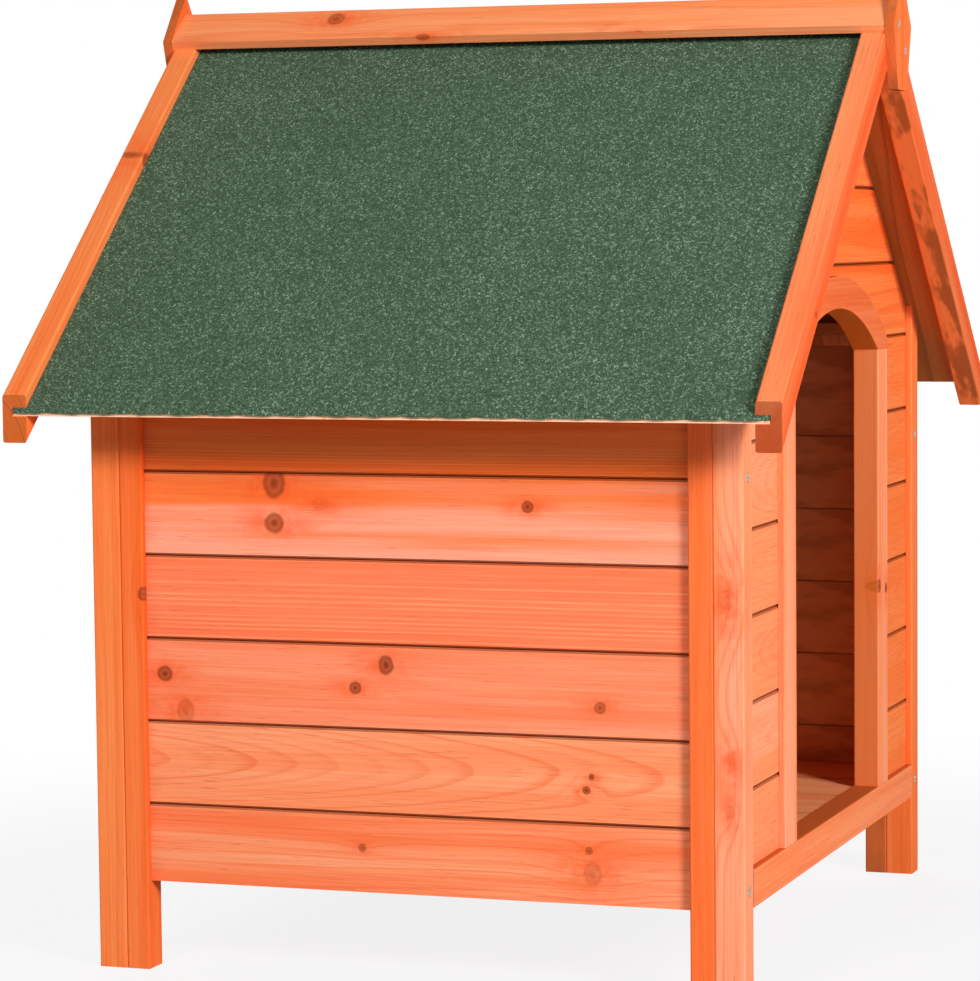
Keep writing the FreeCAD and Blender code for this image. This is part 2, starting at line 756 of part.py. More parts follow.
def plate_screw_places():
    """Each ridge plate has one screw into each rail: the higher one on the left as one faces the plate."""
    offset = size["plate_screw_offset"]
    upper = ridge_height - size["plate_screw_upper_drop"]
    lower = ridge_height - size["plate_screw_lower_drop"]
    places = {}
    for end in (FRONT, REAR):
        places[end, end] = (offset * end, upper)
        places[-end, end] = (offset * -end, lower)
    return places


PLATE_SCREWS = plate_screw_places()


def roof_sheet(side):
    """Plywood sheet of one slope, its front and rear edges in the rails' grooves."""
    body = new_body(f"roof_sheet_{SIDE_NAMES[side]}")
    eave = roof_reach - size["sheet_set_back"]
    outline = slope_band(side, size["rail_ridge_gap"], eave, felt_drop, sheet_drop)
    add_slab(body, "XZ_Plane", outline, -sheet_reach, sheet_reach)


def roof_felt(side):
    """Mineral felt on the sheet of one slope, a little past the plywood at the eave."""
    body = new_body(f"roof_felt_{SIDE_NAMES[side]}")
    eave = roof_reach + size["felt_drip"]
    outline = slope_band(side, size["rail_ridge_gap"], eave, felt_top_drop, felt_drop)
    add_slab(body, "XZ_Plane", outline, -sheet_reach, sheet_reach)


def ridge_cap():
    """Angled moulding along the ridge: two legs on the rails' tops, with a narrow flat at the apex."""
    body = new_body("ridge_cap")
    inner_out = size["cap_leg"] * slope_cos
    inner_up = ridge_height - size["cap_leg"] * slope_sin
    outer_out = inner_out + size["cap_thickness"] * slope_sin
    outer_up = inner_up + size["cap_thickness"] * slope_cos
    flat = size["cap_flat"]
    flat_up = ridge_height + size["cap_thickness"] / slope_cos - flat * slope
    points = [
        (-inner_out, inner_up), (0, ridge_height), (inner_out, inner_up),
        (outer_out, outer_up), (flat, flat_up), (-flat, flat_up), (-outer_out, outer_up),
    ]
    add_slab(body, "XZ_Plane", points, -half_roof, half_roof)


def ridge_plate(end):
    """Pointed plate that ties the two rails at one end of the ridge and closes the cap."""
    body = new_body(f"ridge_plate_{END_NAMES[end]}")
    shoulder = size["plate_half_width"]
    foot = size["plate_foot_half_width"]
    shoulder_up = ridge_height - size["plate_shoulder_drop"]
    foot_up = ridge_height - size["plate_drop"]
    points = [
        (-foot, foot_up), (foot, foot_up), (shoulder, shoulder_up),
        (0, ridge_height + size["plate_rise"]), (-shoulder, shoulder_up),
    ]
    outer = half_roof + size["plate_thickness"]
    low, high = ordered(end, half_roof, outer)
    block = add_slab(body, "XZ_Plane", points, low, high)
    ease_edges(body, block, size["plate_easing"], ALONG_Y)
    head_room = outer - size["screw_head_height"]
    head_radius = size["screw_head_radius"] + size["screw_head_play"]
    for side in (LEFT, RIGHT):
        across, height = PLATE_SCREWS[side, end]
        cut_bore(body, across, height, size["screw_radius"], **level_pair(end, half_roof, head_room))
        cut_bore(body, across, height, head_radius, **level_pair(end, head_room, outer))


# ---------------------------------------------------------------- screws
def screw(name, end, across, height, face, length):
    """A screw driven along Y towards the middle of the house: plain shank, flat head flush with the face."""
    body = new_body(name)
    radius = size["screw_radius"]
    head_radius = size["screw_head_radius"]
    head_foot = face - size["screw_head_height"]
    for around, near, far in ((radius, face - length, head_foot), (head_radius, head_foot, face)):
        low, high = ordered(end, near, far)
        level, reach = span_on("XZ_Plane", low, high)
        sketch = new_sketch(body, "XZ_Plane", level)
        draw_circle(sketch, across, height, around)
        pad = body.newObject("PartDesign::Pad", "Round")
        pad.Profile = sketch
        bind(pad, "Length", reach)
        sketch.Visibility = False
    doc.recompute()
    return body


def leg_screws():
    screws = []
    length = size["leg_screw_length"]
    for end in (FRONT, REAR):
        for side in (LEFT, RIGHT):
            for name, height in zip(("low", "high"), leg_screw_heights):
                label = f"leg_screw_{END_NAMES[end]}_{SIDE_NAMES[side]}_{name}"
                screws.append(screw(label, end, leg_centre * side, height, half_length, length))
    group_node("leg_screws", screws)


def ridge_plate_screws():
    screws = []
    face = half_roof + size["plate_thickness"]
    for (side, end), (across, height) in PLATE_SCREWS.items():
        label = f"plate_screw_{END_NAMES[end]}_{SIDE_NAMES[side]}"
        screws.append(screw(label, end, across, height, face, size["plate_screw_length"]))
    group_node("ridge_plate_screws", screws)


# ---------------------------------------------------------------- the whole house
def build():
    for side in (LEFT, RIGHT):
        side_panel_boards(side)
        side_top_rail(side)
        door_side_boards(side)
        door_batten(side)
        roof_sheet(side)
        roof_felt(side)
        for end in (FRONT, REAR):
            side_leg(side, end)
            end_leg(side, end)
            roof_rail(side, end)
    end_panel_boards()
    door_arch()
    floor_boards()
    floor_bearers()
    ridge_cap()
    for end in (FRONT, REAR):
        sill(end)
        ridge_plate(end)
    leg_screws()
    ridge_plate_screws()
    doc.recompute()


def nodes():
    """Every piece of the house: bodies and groups that aren't part of a group."""
    grouped = set()
    found = []
    for item in doc.Objects:
        if item.TypeId == "Part::Compound":
            grouped.update(piece.Name for piece in item.Links)
    for item in doc.Objects:
        if item.TypeId in ("PartDesign::Body", "Part::Compound") and item.Name not in grouped:
            found.append(item)
    return found


def check_and_write():
    for item in doc.Objects:
        if "Invalid" in item.State or "Error" in item.State:
            raise ValueError(f"{item.Label}: {item.State}")
    pieces = nodes()
    for piece in pieces:
        if piece.Shape.isNull() or not piece.Shape.isValid():
            raise ValueError(f"{piece.Label}: shape is not valid")
    os.makedirs(STEP_FOLDER, exist_ok=True)
    for piece in pieces:
        piece.Shape.exportStep(os.path.join(STEP_FOLDER, f"{piece.Label}.step"))
    print(f"{len(pieces)} nodes, {sum(len(piece.Shape.Solids) for piece in pieces)} solids")


build()
check_and_write()
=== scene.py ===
import logging
import math
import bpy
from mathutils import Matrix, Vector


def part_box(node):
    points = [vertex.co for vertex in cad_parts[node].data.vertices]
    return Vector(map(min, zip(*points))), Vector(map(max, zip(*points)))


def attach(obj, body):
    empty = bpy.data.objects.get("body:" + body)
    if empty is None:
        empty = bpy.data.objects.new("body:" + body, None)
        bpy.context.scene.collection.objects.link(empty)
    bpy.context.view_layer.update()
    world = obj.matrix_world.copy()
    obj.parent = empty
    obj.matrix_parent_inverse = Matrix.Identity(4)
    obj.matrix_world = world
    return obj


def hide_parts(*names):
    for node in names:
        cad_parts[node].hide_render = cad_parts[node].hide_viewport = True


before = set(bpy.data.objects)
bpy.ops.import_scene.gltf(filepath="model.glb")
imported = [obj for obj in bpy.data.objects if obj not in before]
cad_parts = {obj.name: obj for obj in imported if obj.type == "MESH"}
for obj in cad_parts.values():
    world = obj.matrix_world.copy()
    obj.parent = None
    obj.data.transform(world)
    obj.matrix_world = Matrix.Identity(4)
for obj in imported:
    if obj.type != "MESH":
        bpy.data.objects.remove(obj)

import zlib
from dataclasses import dataclass
from enum import Enum

import bpy
import numpy as np
from mathutils import Matrix, Vector

# A flat-pack wooden dog house. The solids of the frame stay where they are and get their finishes
# here; the roofing felt and the screws are remade with the relief that the real ones have.

Socket = bpy.types.NodeSocket
Outputs = bpy.types.bpy_prop_collection
Material = bpy.types.Material
NodeTree = bpy.types.NodeTree
Pair = tuple[float, float]
Triple = tuple[float, float, float]

LOG = logging.getLogger("dog_house")
BODY = "root"
ROOF_PITCH = math.radians(41.3)
SHARP_ANGLE = math.radians(35)
SIDES = {"left": -1, "right": 1}    # the way along x
ENDS = {"front": -1, "rear": 1}     # the way along y


def linear(code: str) -> tuple[float, float, float, float]:
    """A colour written as six hex digits, as the linear values that sockets take.

    Args:
        code: red, green and blue, two hex digits each.

    Returns:
        Red, green, blue and a full alpha.
    """
    parts = [int(code[start:start + 2], 16) / 255 for start in (0, 2, 4)]
    return tuple(p / 12.92 if p <= 0.04045 else ((p + 0.055) / 1.055) ** 2.4 for p in parts) + (1.0,)


def seed_of(name: str) -> float:
    """A steady number between 0 and 100 for a piece's name, so that no two pieces share a grain.

    Args:
        name: the piece's name.

    Returns:
        The number.
    """
    return zlib.crc32(name.encode()) % 10000 / 100


class Grain(Enum):
    """Which way the wood fibres of a piece run, as the two directions along and across its face."""

    FRONT_TO_REAR = ((0, 1, 0), (0, 0, 1))
    FLAT_FRONT_TO_REAR = ((0, 1, 0), (1, 0, 0))
    SIDE_TO_SIDE = ((1, 0, 0), (0, 0, 1))
    FLAT_SIDE_TO_SIDE = ((1, 0, 0), (0, 1, 0))
    UPRIGHT = ((0, 0, 1), (1, 0, 0))
    UPRIGHT_ON_SIDE = ((0, 0, 1), (0, 1, 0))
    DOWN_LEFT_SLOPE = (
        (-math.cos(ROOF_PITCH), 0, -math.sin(ROOF_PITCH)),
        (-math.sin(ROOF_PITCH), 0, math.cos(ROOF_PITCH)),
    )
    DOWN_RIGHT_SLOPE = (
        (math.cos(ROOF_PITCH), 0, -math.sin(ROOF_PITCH)),
        (math.sin(ROOF_PITCH), 0, math.cos(ROOF_PITCH)),
    )

    @property
    def along(self) -> Vector:
        """The direction of the fibres."""
        return Vector(self.value[0])

    @property
    def across(self) -> Vector:
        """The direction across the face of the piece."""
        return Vector(self.value[1])

    def turn(self) -> Matrix:
        """The turn that brings a place to along, across and depth."""
        return Matrix((self.along, self.across, self.along.cross(self.across)))


class Graph:
    """A node tree with short calls that add nodes and join them."""

    def __init__(self, tree: NodeTree) -> None:
        """Keeps the tree that nodes are added to."""
        self.tree = tree

    def put(self, socket: Socket, value: object) -> None:
        """Joins an output to a socket, or sets a plain value on it.

        Args:
            socket: the input.
            value: a node's output, or a number, vector or colour.
        """
        if isinstance(value, Socket):
            self.tree.links.new(value, socket)
        else:
            socket.default_value = value

    def add(self, kind: str, inputs: dict | None = None, **settings: object) -> bpy.types.Node:
        """Adds a node.

        Args:
            kind: the node's type name.
            inputs: values or outputs by the name or number of the input.
            settings: the node's own settings.

        Returns:
            The node.
        """
        node = self.tree.nodes.new(kind)
        for name, value in settings.items():
            setattr(node, name, value)
        for key, value in (inputs or {}).items():
            self.put(node.inputs[key], value)
        return node

    def step(self, operation: str, *values: object) -> Socket:
        """One step of arithmetic on one to three values."""
        return self.add("ShaderNodeMath", dict(enumerate(values)), operation=operation).outputs[0]

    def times(self, first: object, second: object) -> Socket:
        """The product of two values."""
        return self.step("MULTIPLY", first, second)

    def vector(self, operation: str, *values: object) -> Socket:
        """One step of vector arithmetic."""
        node = self.add("ShaderNodeVectorMath", dict(enumerate(values)), operation=operation)
        return node.outputs["Value" if operation in ("LENGTH", "DISTANCE", "DOT_PRODUCT") else "Vector"]

    def axes(self, place: object) -> Outputs:
        """The three parts of a vector."""
        return self.add("ShaderNodeSeparateXYZ", {0: place}).outputs

    def rise(self, value: object, low: float, high: float, start: float = 0, stop: float = 1) -> Socket:
        """A smooth rise between two levels of a value, held flat outside them."""
        inputs = {0: value, 1: low, 2: high, 3: start, 4: stop}
        return self.add("ShaderNodeMapRange", inputs, interpolation_type="SMOOTHSTEP").outputs[0]

    def noise(self, place: object, scale: float, detail: float = 2, share: float = 0.5) -> Outputs:
        """Smooth noise of about so many humps to the metre: a number, and a colour of three numbers."""
        inputs = {"Vector": place, "Scale": scale, "Detail": detail, "Roughness": share}
        return self.add("ShaderNodeTexNoise", inputs).outputs

    def streaks(self, place: object, scale: Triple, detail: float = 2, share: float = 0.5) -> Socket:
        """Smooth noise with its own number of humps to the metre on each axis."""
        return self.noise(self.vector("MULTIPLY", place, scale), 1, detail, share)[0]

    def mix(self, share: object, first: object, second: object, kind: str = "MIX") -> Socket:
        """Two colours mixed by a share."""
        node = self.add("ShaderNodeMix", {0: share, 6: first, 7: second}, data_type="RGBA", blend_type=kind)
        return node.outputs[2]

    def layered(self, colour: Socket, layers: list[tuple[Socket, float, str]]) -> Socket:
        """Lays colours over one another.

        Args:
            colour: the ground.
            layers: from the lowest up, where a colour lies (0 to 1), how strongly, and its code.

        Returns:
            The colour.
        """
        for mark, share, code in layers:
            colour = self.mix(self.times(mark, share), colour, linear(code))
        return colour

    def eye_rays(self) -> Socket:
        """Tells the rays that show a thing from those that only carry light.

        Returns:
            1 for a ray from the camera, a glossy face or glass, otherwise 0.
        """
        path = self.add("ShaderNodeLightPath").outputs
        glossy = self.step("MAXIMUM", path["Is Glossy Ray"], path["Is Transmission Ray"])
        return self.step("MAXIMUM", path["Is Camera Ray"], glossy)


def group(name: str, takes: dict[str, str], gives: tuple[str, ...]) -> tuple[Graph, dict, NodeTree]:
    """A reusable node group.

    Args:
        name: the group's name.
        takes: inputs, by name, with their kind (Float or Vector).
        gives: the names of the outputs, all numbers.

    Returns:
        The graph to fill, its inputs' sockets by name, and the tree.
    """
    tree = bpy.data.node_groups.new(name, "ShaderNodeTree")
    for word, kind in takes.items():
        tree.interface.new_socket(word, in_out="INPUT", socket_type=f"NodeSocket{kind}")
    for word in gives:
        tree.interface.new_socket(word, in_out="OUTPUT", socket_type="NodeSocketFloat")
    graph = Graph(tree)
    inputs = graph.add("NodeGroupInput").outputs
    return graph, {word: inputs[word] for word in takes}, tree


def new_material(name: str) -> tuple[Material, Graph, bpy.types.Node]:
    """Makes an empty material.

    Args:
        name: its name.

    Returns:
        The material, its graph and its shader.
    """
    material = bpy.data.materials.new(name)
    material.use_nodes = True
    return material, Graph(material.node_tree), material.node_tree.nodes["Principled BSDF"]


@dataclass(frozen=True)
class GrowthRings:
    """The figure of sawn softwood, as a node group.

    A place is along the fibres, across the face and into the piece. Its distance from a pith line that
    wanders slowly and may tilt, in whole ring widths, gives the ring; late wood is a narrow rise near each
    ring's outer edge, each ring as strong as a random number for it. Boards in one node are told apart by
    rows. A tilted pith close to the face draws nested pointed arches.

    The scales are humps of noise to the metre along, across and into the wood, and the rises are the two
    levels between which a mark comes in.
    """

    row_step: float = 7.31
    seed_shift: Triple = (1.7, 3.1, 2.3)
    wander_scale: Triple = (1.6, 7, 7)
    wobble_scale: Triple = (5, 50, 50)
    wobble: float = 0.5
    fibre_scale: Triple = (9, 700, 700)
    dash_scale: Triple = (34, 900, 900)
    band_scale: Triple = (1.3, 38, 38)
    late_rise: Pair = (0.45, 0.9)
    weakest_ring: float = 0.15
    band_rise: Pair = (0.34, 0.68)
    end_rise: Pair = (0.6, 0.85)
    seam_rise: Pair = (0.3, 0.6)
    dash_rise: Pair = (0.63, 0.72)

    def tree(self) -> NodeTree:
        """Makes the group.

        Returns:
            The group: late wood, fibre streaks, wide bands along the grain, end grain, a tone for the row,
            the long edges and short dark dashes, each 0 to 1.
        """
        floats = ("Bend", "Seed", "Ring", "Pith across", "Pith depth", "Tilt", "Wander", "Lean",
                  "Row foot", "Row height")
        takes = {"Place": "Vector", "Normal": "Vector"} | {word: "Float" for word in floats}
        gives = ("Late", "Fibre", "Band", "End", "Tone", "Seam", "Dash")
        graph, given, tree = group("growth_rings", takes, gives)
        axes = graph.axes(given["Place"])
        from_foot = graph.step("SUBTRACT", axes[1], given["Row foot"])
        row = graph.step("FLOOR", graph.step("DIVIDE", from_foot, given["Row height"]))
        seed = graph.step("MULTIPLY_ADD", row, self.row_step, given["Seed"])
        middle = graph.times(graph.step("ADD", row, 0.5), given["Row height"])
        across = graph.step("SUBTRACT", from_foot, middle)
        inputs = {0: self.seed_shift, "Scale": seed}
        shift = graph.add("ShaderNodeVectorMath", inputs, operation="SCALE").outputs[0]
        moved = graph.vector("ADD", given["Place"], shift)
        wander = graph.noise(graph.vector("MULTIPLY", moved, self.wander_scale), 1)["Color"]
        drift = graph.axes(graph.vector("SUBTRACT", wander, (0.5, 0.5, 0.5)))
        out_across = graph.step("SUBTRACT", across, given["Pith across"])
        out_across = graph.step("MULTIPLY_ADD", drift[0], given["Wander"], out_across)
        out_depth = graph.step("SUBTRACT", axes[2], given["Pith depth"])
        out_depth = graph.step("MULTIPLY_ADD", axes[0], given["Tilt"], out_depth)
        out_depth = graph.step("MULTIPLY_ADD", drift[1], given["Wander"], out_depth)
        square = graph.step("MULTIPLY_ADD", out_across, out_across, graph.times(out_depth, out_depth))
        radius = graph.step("ADD", graph.step("SQRT", square), given["Bend"])
        wobble = graph.streaks(moved, self.wobble_scale)
        count = graph.step("MULTIPLY_ADD", wobble, self.wobble, graph.step("DIVIDE", radius, given["Ring"]))
        part = graph.step("FRACT", count)
        late = graph.times(graph.rise(part, *self.late_rise), graph.rise(part, self.late_rise[1], 1, 1, 0))
        number = graph.step("ADD", graph.step("FLOOR", count), seed)
        strength = graph.add("ShaderNodeTexWhiteNoise", {"W": number}, noise_dimensions="1D").outputs["Value"]
        late = graph.times(late, graph.rise(strength, 0.1, 1, self.weakest_ring, 1))
        dash = graph.streaks(moved, self.dash_scale, 2, 0.6)
        band = graph.streaks(moved, self.band_scale, 3, 0.55)
        band = graph.step("MULTIPLY_ADD", across, given["Lean"], band)
        facing = graph.axes(given["Normal"])
        graph.add("NodeGroupOutput", {
            "Late": late,
            "Fibre": graph.streaks(moved, self.fibre_scale, 3, 0.65),
            "Band": graph.rise(band, *self.band_rise),
            "End": graph.rise(graph.step("ABSOLUTE", facing[0]), *self.end_rise),
            "Tone": graph.add("ShaderNodeTexWhiteNoise", {"W": seed}, noise_dimensions="1D").outputs["Value"],
            "Seam": graph.rise(graph.step("ABSOLUTE", facing[1]), *self.seam_rise),
            "Dash": graph.rise(dash, *self.dash_rise),
        })
        return tree


@dataclass(frozen=True)
class BranchKnot:
    """A knot, as a node group: the foot of a branch, which reaches a little way into the board.

    With q the distance from the branch's middle in knot radii, the heart is where q is under about 1, the
    pith is at its middle and the rim round it. With q shortened along the fibres, the rings bend outwards
    by a bell curve of it, and a resin-rich halo fades by a narrower one. Depth counts for less than half.
    """

    depth_share: float = 0.45
    along_share: float = 0.42
    waver_scale: float = 130.0
    waver: float = 0.4
    halo_scale: float = 75.0
    halo_rise: Pair = (0.35, 0.62)
    halo_levels: Pair = (0.45, 1.1)
    bend: float = 1.4
    bend_narrowness: float = 0.16
    halo_narrowness: float = 0.3
    heart_fall: Pair = (0.7, 1.25)
    pith_fall: Pair = (0.15, 0.65)
    rim_rise: Pair = (0.5, 0.95)
    rim_fall: Pair = (0.96, 1.3)
    rim_level: float = 0.75

    def tree(self) -> NodeTree:
        """Makes the group.

        Returns:
            The group, which gives the bend in metres, the heart, its dark pith and rim and the halo, 0 to 1.
        """
        floats = ("Along", "Across", "Depth", "Radius", "Tall", "Share")
        takes = {"Place": "Vector"} | {word: "Float" for word in floats}
        graph, given, tree = group("branch_knot", takes, ("Bend", "Heart", "Pith", "Rim", "Halo"))
        axes = graph.axes(given["Place"])
        waver = graph.noise(given["Place"], self.waver_scale, 3, 0.6)[0]
        along = graph.step("SUBTRACT", axes[0], given["Along"])
        across = graph.step("DIVIDE", graph.step("SUBTRACT", axes[1], given["Across"]), given["Tall"])
        depth = graph.times(graph.step("SUBTRACT", axes[2], given["Depth"]), self.depth_share)
        beside = graph.step("MULTIPLY_ADD", across, across, graph.times(depth, depth))
        square = graph.step("MULTIPLY_ADD", along, along, beside)
        span = graph.step("DIVIDE", graph.step("SQRT", square), given["Radius"])
        span = graph.step("MULTIPLY_ADD", graph.step("SUBTRACT", waver, 0.5), self.waver, span)
        short = graph.times(along, self.along_share)
        oval = graph.step("MULTIPLY_ADD", short, short, beside)
        reach = graph.step("DIVIDE", graph.step("SQRT", oval), given["Radius"])
        reach_square = graph.times(reach, reach)
        bell = graph.step("EXPONENT", graph.times(reach_square, -self.bend_narrowness))
        patches = graph.rise(graph.noise(given["Place"], self.halo_scale, 3, 0.6)[0],
                             *self.halo_rise, *self.halo_levels)
        halo = graph.step("EXPONENT", graph.times(reach_square, -self.halo_narrowness))
        heart = graph.rise(span, *self.heart_fall, 1, 0)
        pith = graph.rise(span, *self.pith_fall, 1, 0)
        rim = graph.times(graph.rise(span, *self.rim_rise, 0, self.rim_level),
                          graph.rise(span, *self.rim_fall, 1, 0))
        graph.add("NodeGroupOutput", {
            "Bend": graph.times(bell, graph.times(given["Radius"], self.bend)),
            "Heart": graph.times(heart, given["Share"]),
            "Pith": graph.times(pith, given["Share"]),
            "Rim": graph.times(rim, given["Share"]),
            "Halo": graph.times(halo, patches),
        })
        return tree


@dataclass(frozen=True)
class Knot:
    """A knot on a piece: its middle as a place on the house and its radius, in metres.

    tall stretches it across the board; share is how much of its dark heart shows, 0 for a mere swirl.
    """

    place: Triple
    radius: float
    tall: float = 1.0
    share: float = 1.0


@dataclass(frozen=True)
class Stain:
    """The colours that one stain gives a piece of pine."""

    pale: str
    deep: str
    late: str
    late_share: float = 0.5
    end: str = "9C5430"
    knot: str = "B4502A"
    pith: str = "66240E"
    halo: str = "F45A22"


@dataclass(frozen=True)
class Figure:
    """How a piece was sawn from the log: where its pith lies and how far apart its rings are, in metres.

    lean makes the deep colour gather towards one edge, by so much a metre.
    """

    ring: float = 0.0034
    across: float = 0.0
    depth: float = 0.035
    tilt: float = 0.0
    wander: float = 0.02
    lean: float = 0.0


@dataclass(frozen=True)
class Reverse:
    """The side of a piece that looks another way than its face, coloured apart from it: painted shade on the
    sides of the legs, battens, arch, rails and ridge plates that the lamps miss, barer wood on the inner
    faces of the walls, and a darker brown top on the sill.
    """

    facing: Triple
    wood: str
    share: float = 0.8
    # how strongly darker brown patches cover that side
    mottle: float = 0.0


SALMON = Stain(pale="FCA98D", deep="FA7535", late="F98C57", late_share=0.3)
CORAL = Stain(pale="FB8157", deep="FA7649", late="FCA879", late_share=0.55)
BLUSH = Stain(pale="FB9C78", deep="FA8357", late="F97545", late_share=0.25)
APRICOT = Stain(pale="FBA376", deep="FA8D5C", late="EE6D3B", late_share=0.55)
SUNSET = Stain(pale="FBA073", deep="FA7B4A", late="F56632", late_share=0.5)
# EMBER is deeper and redder partly as painted shade: it stands for the shade under the eave on the top boards
# and the top rails
EMBER = Stain(pale="F57D3D", deep="E95E21", late="F8914E", late_share=0.6)
ORANGE = Stain(pale="FA8552", deep="F87135", late="FA8E5C", late_share=0.3)
HONEY = Stain(pale="FCA581", deep="FA905D", late="EE7543", late_share=0.45)
AMBER = Stain(pale="FA8D4F", deep="F87939", late="EC662E", late_share=0.45, end="B4561C")
RUSSET = Stain(pale="FA8245", deep="F46626", late="E45924", late_share=0.5)
TAWNY = Stain(pale="FB8E4D", deep="F86C2B", late="E85C23", late_share=0.5)
CHESTNUT = Stain(pale="EF8050", deep="E56731", late="D55726", late_share=0.5)
STRAW = Stain(pale="FB9764", deep="F87F48", late="F06E3B", late_share=0.4)
# SAND is pale partly as painted light: it stands for the light falling on the floor through the doorway
SAND = Stain(pale="FFB580", deep="FF965E", late="F87C45", late_share=0.45)
PEACH = Stain(pale="FFA673", deep="FC8B51", late="F07A40", late_share=0.4)
RAIL = Stain(pale="F58C59", deep="E95A25", late="EB5B28", late_share=0.45, end="843F22")

STRAIGHT = Figure(ring=0.0030, across=0.045, depth=0.040, wander=0.005)
NESTED = Figure(ring=0.0032, across=0.002, depth=0.032, tilt=0.09, wander=0.02)
BANDED = Figure(ring=0.0062, across=-0.02, depth=0.05, wander=0.025, lean=7.0)
PLAIN = Figure(ring=0.0058, across=0.06, depth=0.045, wander=0.03)
STREAKY = Figure(ring=0.0042, across=-0.05, depth=-0.03, wander=0.03)
EDGE_SAWN = Figure(ring=0.0026, across=0.10, depth=-0.03, wander=0.004)
PLANKS = (
    (SUNSET, STREAKY), (APRICOT, NESTED), (BLUSH, PLAIN),
    # the top board's EMBER is partly painted eave shade
    (CORAL, STRAIGHT), (SALMON, BANDED), (EMBER, EDGE_SAWN),
)
RIGHT_SIDE_TURN = 3     # planks by which the right side's order is ahead of the left's

DASH_BROWN = "B4532A"
SEAM_BROWN = "86380F"
END_BROWN = "6E3A22"
# stain gathered at board ends, and painted shade where the legs shadow the ends
STAIN_SHADE_BROWN = "8A4E30"
# darker brown patches, laid only on a piece's reverse side
MOTTLE_BROWN = "8E4A22"
INSIDE_WOOD = "F6BF82"
# painted shade on the side legs' inner faces
LEG_PAINTED_SHADE = "B4602C"
# a darker brown on the sill's top
SILL_TOP_BROWN = "C85A21"
# painted shade on the battens' inner faces inside the doorway
BATTEN_PAINTED_SHADE = "E8712B"
# painted shade on the arch's underside
ARCH_PAINTED_SHADE = "D46A18"
# painted shade on the roof rails' undersides
RAIL_PAINTED_SHADE = "F08C48"
# painted shade on the ridge plates' faces that look along -x
PLATE_PAINTED_SHADE = "A8562C"
INSIDE_MOTTLE = 0.3
SEAM_SHARE = 0.65   # how strongly the chamfers at a board's joints are darkened

LEFT_SIDE_KNOTS = {
    1: (
        Knot((-0.294, 0.0449, 0.1093), 0.0028, share=0.7),
        Knot((-0.294, -0.1478, 0.1159), 0.0026, share=0.7),
        Knot((-0.294, -0.1510, 0.0977), 0.0062, tall=1.3, share=0.25),
    ),
    2: (Knot((-0.294, -0.1504, 0.1750), 0.0020), Knot((-0.294, -0.1460, 0.1641), 0.0026)),
    3: (
        Knot((-0.294, 0.2170, 0.2451), 0.0052),
        Knot((-0.294, 0.1988, 0.2148), 0.0060, tall=1.4, share=0.3),
        Knot((-0.294, 0.0492, 0.2389), 0.0042),
        Knot((-0.294, 0.0225, 0.2583), 0.0052, tall=1.2),
        Knot((-0.294, -0.1579, 0.2300), 0.0040, share=0.75),
    ),
    5: (
        Knot((-0.294, 0.1176, 0.4031), 0.0078, tall=1.25, share=0.85),
        Knot((-0.294, 0.1178, 0.3707), 0.0066, share=0.85),
        Knot((-0.294, 0.0777, 0.3868), 0.0060, tall=0.7, share=0.12),
        Knot((-0.294, -0.0989, 0.3876), 0.0040),
    ),
}
REAR_LEG_KNOTS = (Knot((-0.300, 0.2309, 0.3109), 0.0050),)
NEAR_LEG_KNOTS = (
    Knot((-0.300, -0.2641, 0.3188), 0.0070, share=0.16),
    Knot((-0.300, -0.2655, 0.1533), 0.0040, share=0.1),
    Knot((-0.300, -0.2661, 0.1900), 0.0050, share=0.08),
)
BATTEN_KNOTS = (Knot((0.1450, -0.2775, 0.2850), 0.0050), Knot((0.1712, -0.2775, 0.2806), 0.0036))
RIDGE_KNOTS = (
    Knot((-0.0122, 0.1748, 0.7921), 0.0065, tall=0.8, share=0.7),
    Knot((-0.0340, 0.0856, 0.7722), 0.0055, tall=0.5, share=0.7),
    Knot((-0.0360, -0.1109, 0.7700), 0.0045, tall=0.6, share=0.7),
    Knot((0.0150, 0.0200, 0.7900), 0.0050),
)


class WoodGroups:
    """The node groups that every wooden piece shares, made once."""

    def __init__(self) -> None:
        """Builds the groups."""
        self.rings = GrowthRings().tree()
        self.knot = BranchKnot().tree()


